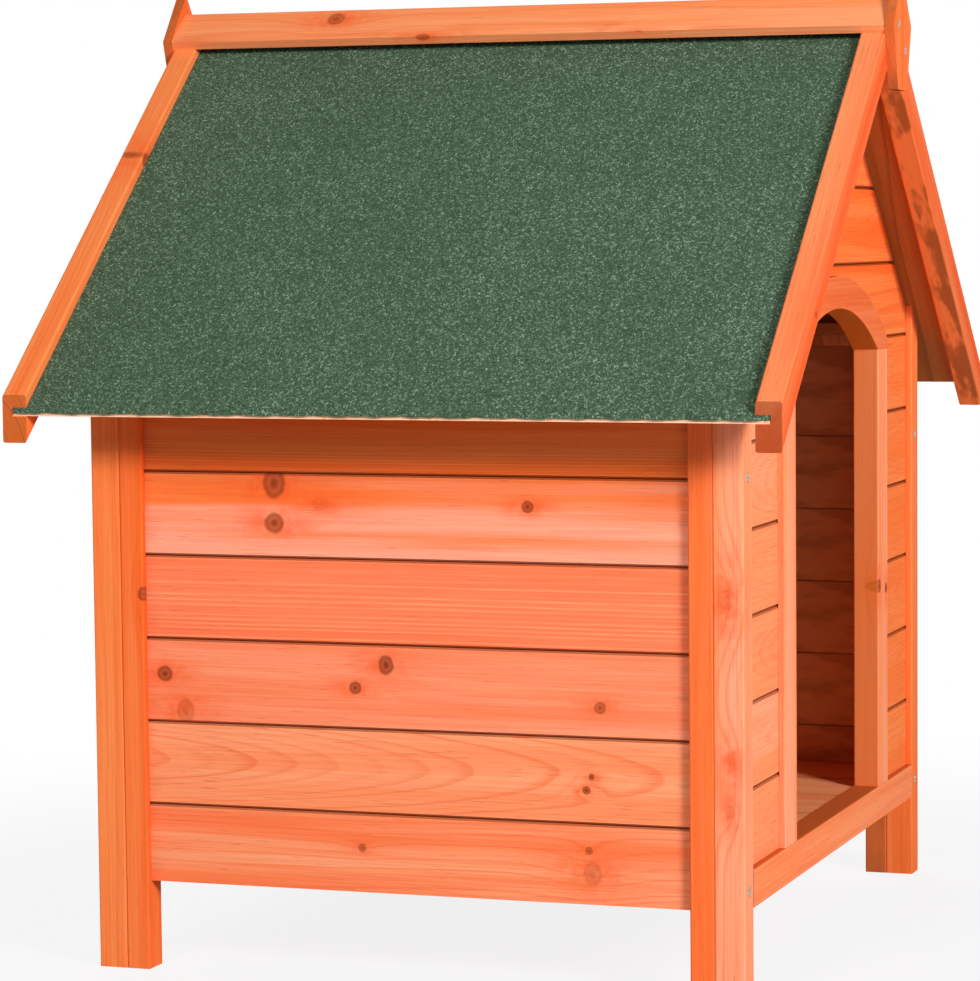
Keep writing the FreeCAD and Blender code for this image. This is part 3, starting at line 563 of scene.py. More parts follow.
@dataclass(frozen=True)
class Pine:
    """A finish of stained pine for one piece: its grain, stain, figure and knots, sizes in metres.

    A node of several boards has rows of row_height across the grain, from row_foot up; otherwise one row
    holds the whole piece. Dark streaks begin stain_shade_from the middle, if it is set: stain gathered at a
    board's ends, and painted shade where the legs beside the ends shadow them. The shares say how strongly
    a mark covers the colour under it, the rises between which two levels a mark comes in, and the scales
    are humps of noise to the metre along, across and into the wood.
    """

    grain: Grain
    stain: Stain
    figure: Figure = Figure()
    knots: tuple[Knot, ...] = ()
    row_foot: float = -5.0
    row_height: float = 10.0
    tone_share: float = 0.35
    stain_shade_from: float = 0.0
    seam_share: float = 0.0
    reverse: Reverse | None = None
    knot_spread: float = 1.12
    fibre_rise: Pair = (0.3, 0.7)
    streak: Pair = (0.84, 1.1)
    red_streak: Pair = (0.965, 1.0)
    dash_share: float = 0.4
    halo_share: float = 0.75
    heart_share: float = 0.88
    pith_share: float = 0.7
    cloud_scale: Triple = (20, 70, 70)
    cloud_reach: float = 0.034
    comb_scale: Triple = (25, 260, 260)
    stain_shade_rise: Pair = (0.004, 0.026)
    stain_shade_share: float = 0.42
    facing_rise: Pair = (0.5, 0.85)
    mottle_scale: Triple = (14, 48, 48)
    mottle_rise: Pair = (0.46, 0.6)
    roughness: Pair = (0.74, 0.6)
    sheen: float = 0.07
    relief: float = 0.0003

    def material(self, name: str, groups: WoodGroups) -> Material:
        """Makes the material of one piece.

        Args:
            name: the piece that it is for; its CAD node gives the middle that the grain is laid out from.
            groups: the shared node groups.

        Returns:
            The material.
        """
        material, graph, shader = new_material(f"pine_{name}")
        low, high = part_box(name)
        centre = (low + high) / 2
        turn = self.grain.turn()
        source = graph.add("ShaderNodeTexCoord")
        angles = turn.to_euler()
        inputs = {"Vector": source.outputs["Object"], "Rotation": angles, "Location": -(turn @ centre)}
        place = graph.add("ShaderNodeMapping", inputs).outputs[0]
        inputs = {"Vector": source.outputs["Normal"], "Rotation": angles}
        normal = graph.add("ShaderNodeMapping", inputs, vector_type="NORMAL").outputs[0]
        marks = self.knot_marks(graph, groups, place, turn, centre)
        figure = self.figure
        inputs = {
            "Place": place, "Normal": normal, "Bend": marks["Bend"], "Seed": seed_of(name),
            "Ring": figure.ring, "Pith across": figure.across, "Pith depth": figure.depth,
            "Tilt": figure.tilt, "Wander": figure.wander, "Lean": figure.lean,
            "Row foot": self.row_foot, "Row height": self.row_height,
        }
        rings = graph.add("ShaderNodeGroup", node_tree=groups.rings)
        for key, value in inputs.items():
            graph.put(rings.inputs[key], value)
        wood = rings.outputs
        colour = self.face_colour(graph, wood, marks)
        # painted shade of the legs, with gathered stain, at both ends of each board
        if self.stain_shade_from:
            colour = self.stain_shade_ends(graph, colour, place)
        if self.reverse:
            colour = self.reversed_side(graph, colour, place, source.outputs["Normal"])
        end_colour = graph.mix(wood["Late"], linear(self.stain.end), linear(END_BROWN))
        colour = graph.mix(wood["End"], colour, end_colour)
        graph.put(shader.inputs["Base Color"], colour)
        graph.put(shader.inputs["Roughness"], graph.rise(wood["Late"], 0, 1, *self.roughness))
        shader.inputs["Specular IOR Level"].default_value = self.sheen
        relief = graph.step("MULTIPLY_ADD", wood["Fibre"], 0.5, graph.times(wood["Late"], 0.4))
        relief = graph.step("SUBTRACT", relief, graph.times(marks["Heart"], 0.4))
        bump = graph.add("ShaderNodeBump", {"Strength": 0.3, "Distance": self.relief, "Height": relief})
        graph.put(shader.inputs["Normal"], bump.outputs[0])
        return material

    def knot_marks(self, graph: Graph, groups: WoodGroups, place: Socket, turn: Matrix,
                   centre: Vector) -> dict[str, Socket | float]:
        """Adds up what the knots do to the grain and the colour.

        Args:
            graph: the material's graph.
            groups: the shared node groups.
            place: the place along, across and into the piece.
            turn: the turn from the house to those directions.
            centre: the middle of the piece on the house.

        Returns:
            The bend, heart, pith, rim and halo, by name: sockets, or zeros for a piece with no knots.
        """
        marks = {"Bend": 0.0, "Heart": 0.0, "Pith": 0.0, "Rim": 0.0, "Halo": 0.0}
        for knot in self.knots:
            spot = turn @ (Vector(knot.place) - centre)
            inputs = {"Place": place, "Along": spot.x, "Across": spot.y, "Depth": spot.z,
                      "Radius": knot.radius * self.knot_spread, "Tall": knot.tall, "Share": knot.share}
            made = graph.add("ShaderNodeGroup", node_tree=groups.knot)
            for key, value in inputs.items():
                graph.put(made.inputs[key], value)
            for key, so_far in marks.items():
                marks[key] = graph.step("ADD" if key == "Bend" else "MAXIMUM", so_far, made.outputs[key])
        return marks

    def face_colour(self, graph: Graph, wood: Outputs, marks: dict) -> Socket:
        """The colour of the face: wide bands, late wood and fine streaks, then the knots.

        Args:
            graph: the material's graph.
            wood: the outputs of the growth rings.
            marks: the knots' bend, heart, pith, rim and halo.

        Returns:
            The colour.
        """
        stain = self.stain
        colour = graph.layered(graph.mix(wood["Band"], linear(stain.pale), linear(stain.deep)), [
            (wood["Tone"], self.tone_share, stain.deep), (wood["Late"], stain.late_share, stain.late),
        ])
        streak = graph.rise(wood["Fibre"], *self.fibre_rise, *self.streak)
        red = graph.rise(wood["Fibre"], *self.fibre_rise, *self.red_streak)
        tint = graph.add("ShaderNodeCombineXYZ", {0: red, 1: streak, 2: streak}).outputs[0]
        colour = graph.mix(1.0, colour, tint, "MULTIPLY")
        layers = [(wood["Dash"], self.dash_share, DASH_BROWN)]
        if self.seam_share:
            layers.append((wood["Seam"], self.seam_share, SEAM_BROWN))
        if self.knots:
            layers += [
                (marks["Halo"], self.halo_share, stain.halo), (marks["Heart"], self.heart_share, stain.knot),
                (marks["Rim"], self.pith_share, stain.pith), (marks["Pith"], self.pith_share, stain.pith),
            ]
        return graph.layered(colour, layers)

    def stain_shade_ends(self, graph: Graph, colour: Socket, place: Socket) -> Socket:
        """Dark streaks at the two ends of a board: stain gathered there, and painted shade of the legs beside
        the ends.

        Args:
            graph: the material's graph.
            colour: the colour so far.
            place: the place along, across and into the piece.

        Returns:
            The colour.
        """
        along = graph.step("ABSOLUTE", graph.axes(place)[0])
        reach = graph.step("MULTIPLY_ADD", graph.streaks(place, self.cloud_scale), self.cloud_reach, along)
        low, high = self.stain_shade_rise
        stain_shade = graph.rise(reach, self.stain_shade_from + low, self.stain_shade_from + high)
        comb = graph.rise(graph.streaks(place, self.comb_scale, 4, 0.7), 0.35, 0.6, 0.35, 1)
        return graph.layered(colour, [(graph.times(stain_shade, comb), self.stain_shade_share, STAIN_SHADE_BROWN)])

    def reversed_side(self, graph: Graph, colour: Socket, place: Socket, normal: Socket) -> Socket:
        """The colour of the side that looks the reverse way: painted shade, barer wood or a darker top, as
        the piece has it, with darker brown patches over it.

        Args:
            graph: the material's graph.
            colour: the colour so far.
            place: the place along, across and into the piece.
            normal: the way that the surface looks, on the house.

        Returns:
            The colour.
        """
        side = self.reverse
        seen = graph.rise(graph.vector("DOT_PRODUCT", normal, side.facing), *self.facing_rise)
        patch = graph.rise(graph.streaks(place, self.mottle_scale, 3, 0.6), *self.mottle_rise)
        return graph.layered(colour, [
            (seen, side.share, side.wood), (graph.times(patch, seen), side.mottle, MOTTLE_BROWN),
        ])


@dataclass(frozen=True)
class Plywood:
    """Thin plywood, stained below in a deep brown that is partly painted shade of the roof's underside, with
    pale veneers in its cut edges, sizes in metres.
    """

    grain: Grain
    # the face's deep brown is partly painted shade of the roof's underside
    face: Stain = Stain(pale="BD773D", deep="9D5A27", late="84471B", late_share=0.5)
    figure: Figure = Figure(ring=0.010, depth=0.03, tilt=0.05, wander=0.06)
    edge: str = "FFC9A4"
    edge_line: str = "B47850"
    edge_wear: str = "E08A58"
    edge_from: float = 0.3588
    veneer: float = 0.001
    line_from: float = 0.72
    wear_scale: float = 120.0

    def material(self, name: str, groups: WoodGroups) -> Material:
        """Makes the material: the veneer's figure, and lines of veneer where the sheet is cut at the eave.

        Args:
            name: the sheet's node.
            groups: the shared node groups.

        Returns:
            The material.
        """
        material = Pine(self.grain, self.face, self.figure).material(name, groups)
        graph = Graph(material.node_tree)
        base = material.node_tree.nodes["Principled BSDF"].inputs["Base Color"]
        veneer = base.links[0].from_socket
        place = graph.add("ShaderNodeTexCoord").outputs["Object"]
        axes = graph.axes(place)
        turn = self.grain.across
        level = graph.step("MULTIPLY_ADD", axes[0], turn.x, graph.times(axes[2], turn.z))
        part = graph.step("FRACT", graph.step("DIVIDE", level, self.veneer))
        line = graph.times(graph.step("GREATER_THAN", part, self.line_from), 0.5)
        edge = graph.mix(line, linear(self.edge), linear(self.edge_line))
        wear = graph.rise(graph.noise(place, self.wear_scale, 3)[0], 0.52, 0.68, 0, 0.55)
        edge = graph.mix(wear, edge, linear(self.edge_wear))
        at_edge = graph.rise(graph.step("ABSOLUTE", axes[0]), self.edge_from, self.edge_from + 0.0003)
        graph.put(base, graph.mix(at_edge, veneer, edge))
        return material


@dataclass(frozen=True)
class MineralFelt:
    """Roofing felt with crushed green slate on it: the scales are grains, clumps or patches to the metre."""

    dark: str = "2D432B"
    middle: str = "4A614A"
    light: str = "91A990"
    grain_scale: float = 900.0
    grain_wander: float = 0.0012
    clump_scale: float = 320.0
    clump_share: float = 0.9
    patch_scale: float = 9.0
    patch_share: float = 0.18
    middle_rise: Pair = (0.05, 0.7)
    light_rise: Pair = (0.72, 1.15)
    roughness: float = 0.93
    sheen: float = 0.25
    relief: float = 0.0006

    def material(self) -> Material:
        """Makes the material: cells of random brightness for the grains, with slow clumps over them.

        Returns:
            The material.
        """
        material, graph, shader = new_material("mineral_felt")
        place = graph.add("ShaderNodeTexCoord").outputs["Object"]
        wander = graph.vector("MULTIPLY", graph.noise(place, self.grain_scale, 1)["Color"],
                              (self.grain_wander,) * 3)
        inputs = {"Vector": graph.vector("ADD", place, wander), "Scale": self.grain_scale}
        cells = graph.add("ShaderNodeTexVoronoi", inputs).outputs
        bright = graph.add("ShaderNodeSeparateColor", {0: cells["Color"]}).outputs[0]
        for scale, share in ((self.clump_scale, self.clump_share), (self.patch_scale, self.patch_share)):
            cloud = graph.step("SUBTRACT", graph.noise(place, scale, 3, 0.6)[0], 0.5)
            bright = graph.step("MULTIPLY_ADD", cloud, share, bright)
        colour = graph.mix(graph.rise(bright, *self.middle_rise), linear(self.dark), linear(self.middle))
        colour = graph.mix(graph.rise(bright, *self.light_rise), colour, linear(self.light))
        graph.put(shader.inputs["Base Color"], colour)
        graph.put(shader.inputs["Roughness"], self.roughness)
        graph.put(shader.inputs["Specular IOR Level"], self.sheen)
        height = graph.step("SUBTRACT", bright, cells["Distance"])
        bump = graph.add("ShaderNodeBump", {"Strength": 0.55, "Distance": self.relief, "Height": height})
        graph.put(shader.inputs["Normal"], bump.outputs[0])
        return material


@dataclass(frozen=True)
class ZincSteel:
    """Zinc-plated steel, duller and rougher in small patches."""

    light: str = "C9C6BE"
    dull: str = "8D8A82"
    patch_scale: float = 700.0
    roughness: Pair = (0.34, 0.54)
    relief: float = 0.0001

    def material(self) -> Material:
        """Makes the material.

        Returns:
            The material.
        """
        material, graph, shader = new_material("zinc_steel")
        place = graph.add("ShaderNodeTexCoord").outputs["Object"]
        patch = graph.noise(place, self.patch_scale, 3, 0.6)[0]
        colour = graph.mix(graph.rise(patch, 0.35, 0.65), linear(self.light), linear(self.dull))
        graph.put(shader.inputs["Base Color"], colour)
        graph.put(shader.inputs["Metallic"], 1.0)
        graph.put(shader.inputs["Roughness"], graph.rise(patch, 0.3, 0.7, *self.roughness))
        bump = graph.add("ShaderNodeBump", {"Strength": 0.2, "Distance": self.relief, "Height": patch})
        graph.put(shader.inputs["Normal"], bump.outputs[0])
        return material


def scattered_knots(name: str, grain: Grain, count: int) -> tuple[Knot, ...]:
    """Knots at steady but scattered places on a board's face.

    Args:
        name: the board's node.
        grain: the way its fibres run.
        count: how many.

    Returns:
        The knots.
    """
    low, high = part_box(name)
    centre, half = (low + high) / 2, (high - low) / 2
    draw = np.random.default_rng(zlib.crc32(name.encode()))
    along = abs(half.dot(grain.along)) * 0.75
    across = abs(half.dot(grain.across)) * 0.5
    spots = draw.uniform(-1, 1, (count, 2)) * (along, across)
    sizes = draw.uniform(0.0035, 0.0075, count)
    places = [centre + grain.along * a + grain.across * b for a, b in spots]
    return tuple(Knot(tuple(place), float(size)) for place, size in zip(places, sizes))


def shown_mesh(name: str, points: np.ndarray, faces: list, material: Material) -> bpy.types.Object:
    """Makes an object of a computed mesh, in place, riding on the house.

    Args:
        name: the piece's name.
        points: its corners, in metres, one row each.
        faces: the corner numbers of each face, anticlockwise as seen from outside.
        material: its finish.

    Returns:
        The object, smooth but for its sharp edges.
    """
    mesh = bpy.data.meshes.new(name)
    mesh.from_pydata(points.tolist(), [], faces)
    mesh.polygons.foreach_set("use_smooth", np.full(len(mesh.polygons), True))
    mesh.set_sharp_from_angle(angle=SHARP_ANGLE)
    mesh.update()
    mesh.materials.append(material)
    piece = bpy.data.objects.new(name, mesh)
    bpy.context.scene.collection.objects.link(piece)
    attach(piece, BODY)
    LOG.info("%s: %d faces", name, len(faces))
    return piece


def grid_faces(rows: int, columns: int, start: int, closed: bool, flip: bool) -> np.ndarray:
    """The quads of a grid of points whose numbers run along each row.

    Args:
        rows: points down the grid.
        columns: points along each row.
        start: the number of the first point.
        closed: whether each row joins its own start.
        flip: whether the faces look the other way.

    Returns:
        One row of four point numbers for each quad.
    """
    last = columns if closed else columns - 1
    row, column = np.meshgrid(np.arange(rows - 1), np.arange(last), indexing="ij")
    beside = (column + 1) % columns
    quads = np.stack([row * columns + column, row * columns + beside,
                      (row + 1) * columns + beside, (row + 1) * columns + column], -1).reshape(-1, 4) + start
    return quads[:, ::-1] if flip else quads


@dataclass
class Assembly:
    """A sub-assembly of the house, whose wooden pieces share the node groups."""

    groups: WoodGroups

    def dress(self, name: str, finish: Pine | Plywood) -> None:
        """Gives a solid of the frame its finish, in place of what it came with.

        Args:
            name: the solid's node.
            finish: its finish.
        """
        material = finish.material(name, self.groups)
        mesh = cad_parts[name].data
        mesh.materials.clear()
        mesh.materials.append(material)
        LOG.info("%s: %s", name, material.name)


@dataclass
class SidePanel(Assembly):
    """A long side: boards between two legs, with a rail under the roof, sizes in metres."""

    side: str
    boards: int = 6
    board_half: float = 0.2325

    def dress_boards(self) -> None:
        """Dresses the boards, each with its own stain, figure and knots, and the rail above them."""
        turned = RIGHT_SIDE_TURN if self.side == "right" else 0
        knots = LEFT_SIDE_KNOTS if self.side == "left" else {}
        inside = Reverse((-SIDES[self.side], 0, 0), INSIDE_WOOD, mottle=INSIDE_MOTTLE)
        for number in range(1, self.boards + 1):
            stain, figure = PLANKS[(number - 1 + turned) % len(PLANKS)]
            # the board ends get painted shade of the legs, with gathered stain
            self.dress(f"side_{self.side}_board_{number}", Pine(
                Grain.FRONT_TO_REAR, stain, figure, knots.get(number, ()),
                stain_shade_from=self.board_half, seam_share=SEAM_SHARE, reverse=inside,
            ))
        # the top rail's EMBER stain is partly painted eave shade
        self.dress(f"side_{self.side}_top_rail", Pine(Grain.FRONT_TO_REAR, EMBER, EDGE_SAWN, reverse=inside))

    def dress_legs(self) -> None:
        """Dresses the two legs, whose fibres stand upright."""
        figure = Figure(ring=0.004, across=0.03, depth=-0.05, wander=0.008)
        # painted shade: the legs' inner faces are coloured darker, as if out of the light
        inner = Reverse((-SIDES[self.side], 0, 0), LEG_PAINTED_SHADE, share=0.75, mottle=0.2)
        for end, stain in (("front", ORANGE), ("rear", RUSSET)):
            knots = REAR_LEG_KNOTS if (self.side, end) == ("left", "rear") else ()
            finish = Pine(Grain.UPRIGHT_ON_SIDE, stain, figure, knots, reverse=inner)
            self.dress(f"side_{self.side}_leg_{end}", finish)


@dataclass
class EndPanel(Assembly):
    """The front or the rear: two legs, a sill, and boards from the sill to the ridge."""

    end: str

    def dress_frame(self) -> None:
        """Dresses the legs and the sill."""
        figure = Figure(ring=0.0042, across=-0.02, depth=0.045, wander=0.012)
        for side in SIDES:
            near = (self.end, side) == ("front", "left")
            stain, knots = (HONEY, NEAR_LEG_KNOTS) if near else (AMBER, ())
            self.dress(f"{self.end}_leg_{side}", Pine(Grain.UPRIGHT_ON_SIDE, stain, figure, knots))
        figure = Figure(ring=0.003, depth=0.05, wander=0.01)
        top = Reverse((0, 0, 1), SILL_TOP_BROWN, share=0.85)
        self.dress(f"{self.end}_sill", Pine(Grain.SIDE_TO_SIDE, STRAW, figure, reverse=top))

    def dress_boards(self) -> None:
        """Dresses the boards that span the whole panel."""
        starts = (f"{self.end}_board_", f"{self.end}_gable_")
        whole = sorted(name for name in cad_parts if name.startswith(starts))
        inside = Reverse((0, -ENDS[self.end], 0), INSIDE_WOOD, mottle=INSIDE_MOTTLE)
        for number, name in enumerate(whole):
            stain, figure = PLANKS[(number * 2 + 4) % (len(PLANKS) - 1)]
            knots = scattered_knots(name, Grain.SIDE_TO_SIDE, int(seed_of(name)) % 3)
            self.dress(name, Pine(
                Grain.SIDE_TO_SIDE, TAWNY if self.end == "front" else stain, figure, knots,
                seam_share=SEAM_SHARE, reverse=inside,
            ))


@dataclass
class Doorway(Assembly):
    """The doorway's frame: two battens, the arch, and the short boards at their sides, sizes in metres."""

    row_height: float = 0.0685
    lowest_row: float = 0.061

    def dress_frame(self) -> None:
        """Dresses the two battens and the arch on them."""
        figure = Figure(ring=0.0045, across=0.02, depth=0.05, wander=0.012)
        for side, sign in SIDES.items():
            knots = BATTEN_KNOTS if side == "right" else ()
            # painted shade: the battens' inner faces are coloured deeper, as if out of the light
            inner = Reverse((-sign, 0, 0), BATTEN_PAINTED_SHADE, share=0.7)
            self.dress(f"door_batten_{side}", Pine(Grain.UPRIGHT, HONEY, figure, knots, reverse=inner))
        figure = Figure(ring=0.004, across=-0.03, depth=0.04)
        # painted shade: the arch's underside is coloured darker, as if out of the light
        soffit = Reverse((0, 0, -1), ARCH_PAINTED_SHADE, share=0.85)
        self.dress("door_arch", Pine(Grain.SIDE_TO_SIDE, CHESTNUT, figure, reverse=soffit))

    def dress_boards(self) -> None:
        """Dresses the columns of short boards, whose node holds one row of grain to each board."""
        figure = Figure(ring=0.0042, depth=0.03, tilt=0.12, wander=0.03)
        for side, stain in (("left", HONEY), ("right", AMBER)):
            name = f"front_{side}_boards"
            low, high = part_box(name)
            self.dress(name, Pine(
                Grain.SIDE_TO_SIDE, stain, figure, tone_share=1.0, seam_share=SEAM_SHARE,
                row_foot=(low.z - high.z) / 2 + self.lowest_row - self.row_height,
                row_height=self.row_height,
            ))


@dataclass
class Floor(Assembly):
    """The floor: boards from sill to sill, and the two slats under them, sizes in metres."""

    boards: int = 6
    gap: float = 0.002
    slat_spacing: float = 0.26

    def dress_all(self) -> None:
        """Dresses the boards and the slats, one row of grain to each."""
        low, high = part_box("floor_boards")
        span = high.x - low.x + self.gap
        # the floor boards' pale SAND is partly painted light
        self.dress("floor_boards", Pine(
            Grain.FLAT_FRONT_TO_REAR, SAND, Figure(ring=0.0032), seam_share=0.9,
            row_foot=-span / 2, row_height=span / self.boards,
        ))
        self.dress("floor_bearers", Pine(
            Grain.FLAT_SIDE_TO_SIDE, HONEY, Figure(ring=0.003),
            row_foot=-self.slat_spacing, row_height=self.slat_spacing,
        ))


@dataclass
class Roof(Assembly):
    """The roof: four grooved rails, two sheets of plywood under felt, a ridge cap and its end plates.

    Lengths are in metres. Each wave of the felt has its radians to the metre down the slope and front to
    rear, its phase and its share; each wave of the eave's edge has its radians to the metre front to rear,
    its phase and its share. The edge wavers only in the last strip, by a high power of the way down; lap
    is the strip beside each rail in which the felt's waves fade out.
    """

    steps_along: int = 216
    steps_down: int = 160
    sag: float = 0.00022
    lap: float = 0.048
    waves: tuple[tuple[float, ...], ...] = ((61, 13, 0, 1), (-21, 47, 2, 1), (113, -70, 0, 0.6))
    drip: float = 0.0003
    drip_waves: tuple[Triple, ...] = ((190, 1.3, 1), (411, 0.4, 0.7), (83, 0, 0.5))
    drip_power: int = 24

    def dress_rails(self) -> None:
        """Dresses the four rails and the two sheets that they hold."""
        slopes = {"left": Grain.DOWN_LEFT_SLOPE, "right": Grain.DOWN_RIGHT_SLOPE}
        for side, grain in slopes.items():
            # painted shade: the rails' undersides are coloured darker, as if out of the light
            under = Reverse(tuple(-grain.across), RAIL_PAINTED_SHADE, share=0.6, mottle=0.75)
            for end, stain in (("front", RAIL), ("rear", AMBER)):
                name = f"roof_rail_{end}_{side}"
                seed = seed_of(name)
                figure = Figure(ring=0.0034 + 0.001 * (seed % 1), across=0.02 * (seed % 3 - 1.5),
                                depth=0.04, tilt=0.02, wander=0.015)
                self.dress(name, Pine(grain, stain, figure, scattered_knots(name, grain, 1), reverse=under))
            self.dress(f"roof_sheet_{side}", Plywood(grain))

    def dress_ridge(self) -> None:
        """Dresses the ridge cap and its two end plates."""
        figure = Figure(ring=0.0042, depth=0.05)
        self.dress("ridge_cap", Pine(Grain.FLAT_FRONT_TO_REAR, PEACH, figure, RIDGE_KNOTS))
        # painted shade: the plates' faces along -x are coloured darker, as if out of the light
        shaded = Reverse((-1, 0, 0), PLATE_PAINTED_SHADE, share=0.6, mottle=0.4)
        for end in ENDS:
            finish = Pine(Grain.UPRIGHT, RUSSET, Figure(ring=0.003, depth=0.04), reverse=shaded)
            self.dress(f"ridge_plate_{end}", finish)

    def felt_sheet(self, side: str, material: Material) -> None:
        """Makes the felt of one slope.

        The top is the plane of its solid, lowered by a sum of slow waves that fade to nothing at the
        ridge and in the rails' grooves; the drip at the eave wavers by less than a millimetre. The
        underside is the solid's own plane.

        Args:
            side: left or right.
            material: the felt's finish.
        """
        node = f"roof_felt_{side}"
        low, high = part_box(node)
        sign = SIDES[side]
        inner, outer = sorted((abs(low.x), abs(high.x)))
        slope = math.tan(ROOF_PITCH)
        plumb = high.z - low.z - (outer - inner) * slope
        along = np.linspace(0, 1, self.steps_along)[None, :]
        down = np.linspace(0, 1, self.steps_down)[:, None]
        y = low.y + (high.y - low.y) * along + 0 * down
        ragged = self.drip * sum(share * np.sin(y * turns + phase) for turns, phase, share in self.drip_waves)
        reach = inner + (outer - inner) * down + ragged * down ** self.drip_power
        edge = np.minimum((high.y - low.y) * np.minimum(along, 1 - along), self.lap) / self.lap
        free = np.clip((edge - 0.3) / 0.7, 0, 1) * np.clip(down * 12, 0, 1)
        rolls = sum(share * np.sin(reach * fall + y * turns + phase)
                    for fall, turns, phase, share in self.waves)
        tallest = sum(share for *_, share in self.waves)
        dip = self.sag * free * (rolls / tallest + 1) / 2
        top_z = high.z - (reach - inner) * slope
        top = np.stack([sign * reach, y, top_z - dip], -1).reshape(-1, 3)
        under = np.stack([sign * reach, y, top_z - plumb], -1).reshape(-1, 3)
        rows, columns = self.steps_down, self.steps_along
        count = rows * columns
        outwards = sign > 0
        border = np.concatenate([
            np.arange(columns), np.arange(2, rows + 1) * columns - 1,
            (rows - 1) * columns + np.arange(columns - 2, -1, -1), np.arange(rows - 2, 0, -1) * columns,
        ])
        follow = np.roll(border, -1)
        strip = np.stack([border, border + count, follow + count, follow], -1)
        faces = np.concatenate([
            grid_faces(rows, columns, 0, False, outwards),
            grid_faces(rows, columns, count, False, not outwards),
            strip[:, ::-1] if outwards else strip,
        ])
        piece = shown_mesh(f"felt_{side}", np.concatenate([top, under]), faces.tolist(), material)
        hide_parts(node)


@dataclass(frozen=True)
class ScrewSpot:
    """Where a screw goes: the middle of its face, its length in metres and its cross's turn in radians."""

    x: float
    y: float
    z: float
    length: float
    turn: float


@dataclass
class Screws:
    """Countersunk cross-head screws that stand for the plain screws of the frame, sizes in metres.

    rim gives the head's rounded edge, as shares of its radius and depths in metres; taper gives the shank
    and the tip, as shares of the shank's radius and of the whole length.
    """

    steel: Material
    head_radius: float = 0.0037
    shank_radius: float = 0.002
    head_height: float = 0.0024
    face_rings: int = 14
    rim: tuple[Pair, Pair] = ((0.985, 0.0001), (1.0, 0.0004))
    taper: tuple[Pair, Pair, Pair] = ((1.0, 0.82), (0.5, 0.95), (0.05, 1.0))
    slot_half: float = 0.00055
    slot_reach: float = 0.0022
    slot_depth: float = 0.0014
    turns: int = 48

    def profile(self, length: float) -> np.ndarray:
        """The outline from the middle of the head's face to the tip: radius and depth below the face.

        Args:
            length: the screw's whole length.

        Returns:
            One row for each ring of points.
        """
        face = [(share * self.head_radius, 0.0) for share in np.linspace(0.04, 0.92, self.face_rings)]
        rim = [(share * self.head_radius, depth) for share, depth in self.rim]
        tip = [(share * self.shank_radius, part * length) for share, part in self.taper]
        return np.array(face + rim + [(self.shank_radius, self.head_height)] + tip)

    def mesh_points(self, length: float) -> np.ndarray:
        """A screw at the origin, driven along +Y from a face at 0.

        Rings of the profile are turned about the axis. On the head's face a point lies deeper where it is
        nearer than half a slot to either of two crossed lines: by the slot's depth at the middle, less
        towards the slot's end.

        Args:
            length: the screw's whole length.

        Returns:
            The points, ring by ring.
        """
        profile = self.profile(length)
        angle = np.arange(self.turns) * 2 * math.pi / self.turns
        radius, depth = profile[:, :1], profile[:, 1:]
        x, z = radius * np.cos(angle), radius * np.sin(angle)
        nearest = np.minimum(np.abs(x), np.abs(z))
        inside = np.clip((self.slot_half - nearest) / (self.slot_half * 0.35), 0, 1)
        fall = np.clip(1 - radius / self.slot_reach, 0, 1) ** 0.5
        sunk = np.where(radius < self.head_radius * 0.93, self.slot_depth * inside * fall, 0)
        return np.stack([x, depth + sunk, z], -1).reshape(-1, 3)

    def drive(self, name: str, node: str, spots: list[ScrewSpot]) -> None:
        """Makes all the screws of one node, each driven from its end's face towards the middle.

        Args:
            name: the new piece's name.
            node: the node that it stands for.
            spots: where they go.
        """
        points, faces = [], []
        for spot in spots:
            body = self.mesh_points(spot.length)
            rings = len(body) // self.turns
            start = sum(len(part) for part in points)
            way = 1 if spot.y < 0 else -1
            cos, sin = math.cos(spot.turn), math.sin(spot.turn)
            turned = np.stack([body[:, 0] * cos - body[:, 2] * sin, body[:, 1] * way,
                               body[:, 0] * sin + body[:, 2] * cos], -1)
            points.append(turned + (spot.x, spot.y, spot.z))
            head = np.arange(self.turns) + start
            tip = head + (rings - 1) * self.turns
            ends = [head[::-1], tip] if way < 0 else [head, tip[::-1]]
            faces += grid_faces(rings, self.turns, start, True, way > 0).tolist()
            faces += [end.tolist() for end in ends]
        piece = shown_mesh(name, np.concatenate(points), faces, self.steel)
        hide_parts(node)


@dataclass
class Fixings:
    """Where the screws go: through the legs at each corner, and through the ridge plates, in metres."""

    steel: Material
    leg_x: float = 0.2875
    leg_face: float = 0.2775
    leg_heights: Pair = (0.0885, 0.413)
    leg_length: float = 0.038
    plate_x: float = 0.012
    plate_face: float = 0.3335
    plate_drops: Pair = (0.017, 0.038)
    plate_length: float = 0.024
    ridge_height: float = 0.79216

    def drive_all(self) -> None:
        """Makes both groups of screws."""
        screws = Screws(self.steel)
        screws.drive("screws_in_legs", "leg_screws", [
            ScrewSpot(x * self.leg_x, y * self.leg_face, z, self.leg_length, seed_of(f"{x}{y}{z}"))
            for x in (-1, 1) for y in (-1, 1) for z in self.leg_heights
        ])
        screws.drive("screws_in_ridge_plates", "ridge_plate_screws", [
            ScrewSpot(side * self.plate_x, end * self.plate_face, self.ridge_height - drop,
                      self.plate_length, seed_of(f"{end}{side}"))
            for end in (-1, 1) for side, drop in zip((end, -end), self.plate_drops)
        ])


@dataclass(frozen=True)
class Lamp:
    """A square soft lamp that looks at the middle of the house: its place, its side and its watts."""

    name: str
    place: Triple
    size: float
    watts: float
    aim: Triple = (0, 0, 0.4)

    def hang(self) -> None:
        """Hangs the lamp."""
        data = bpy.data.lights.new(self.name, "AREA")
        data.size, data.energy = self.size, self.watts
        lamp = bpy.data.objects.new(self.name, data)
        look = (Vector(self.aim) - Vector(self.place)).to_track_quat("-Z", "Y")
        lamp.matrix_world = Matrix.Translation(self.place) @ look.to_matrix().to_4x4()
        bpy.context.scene.collection.objects.link(lamp)


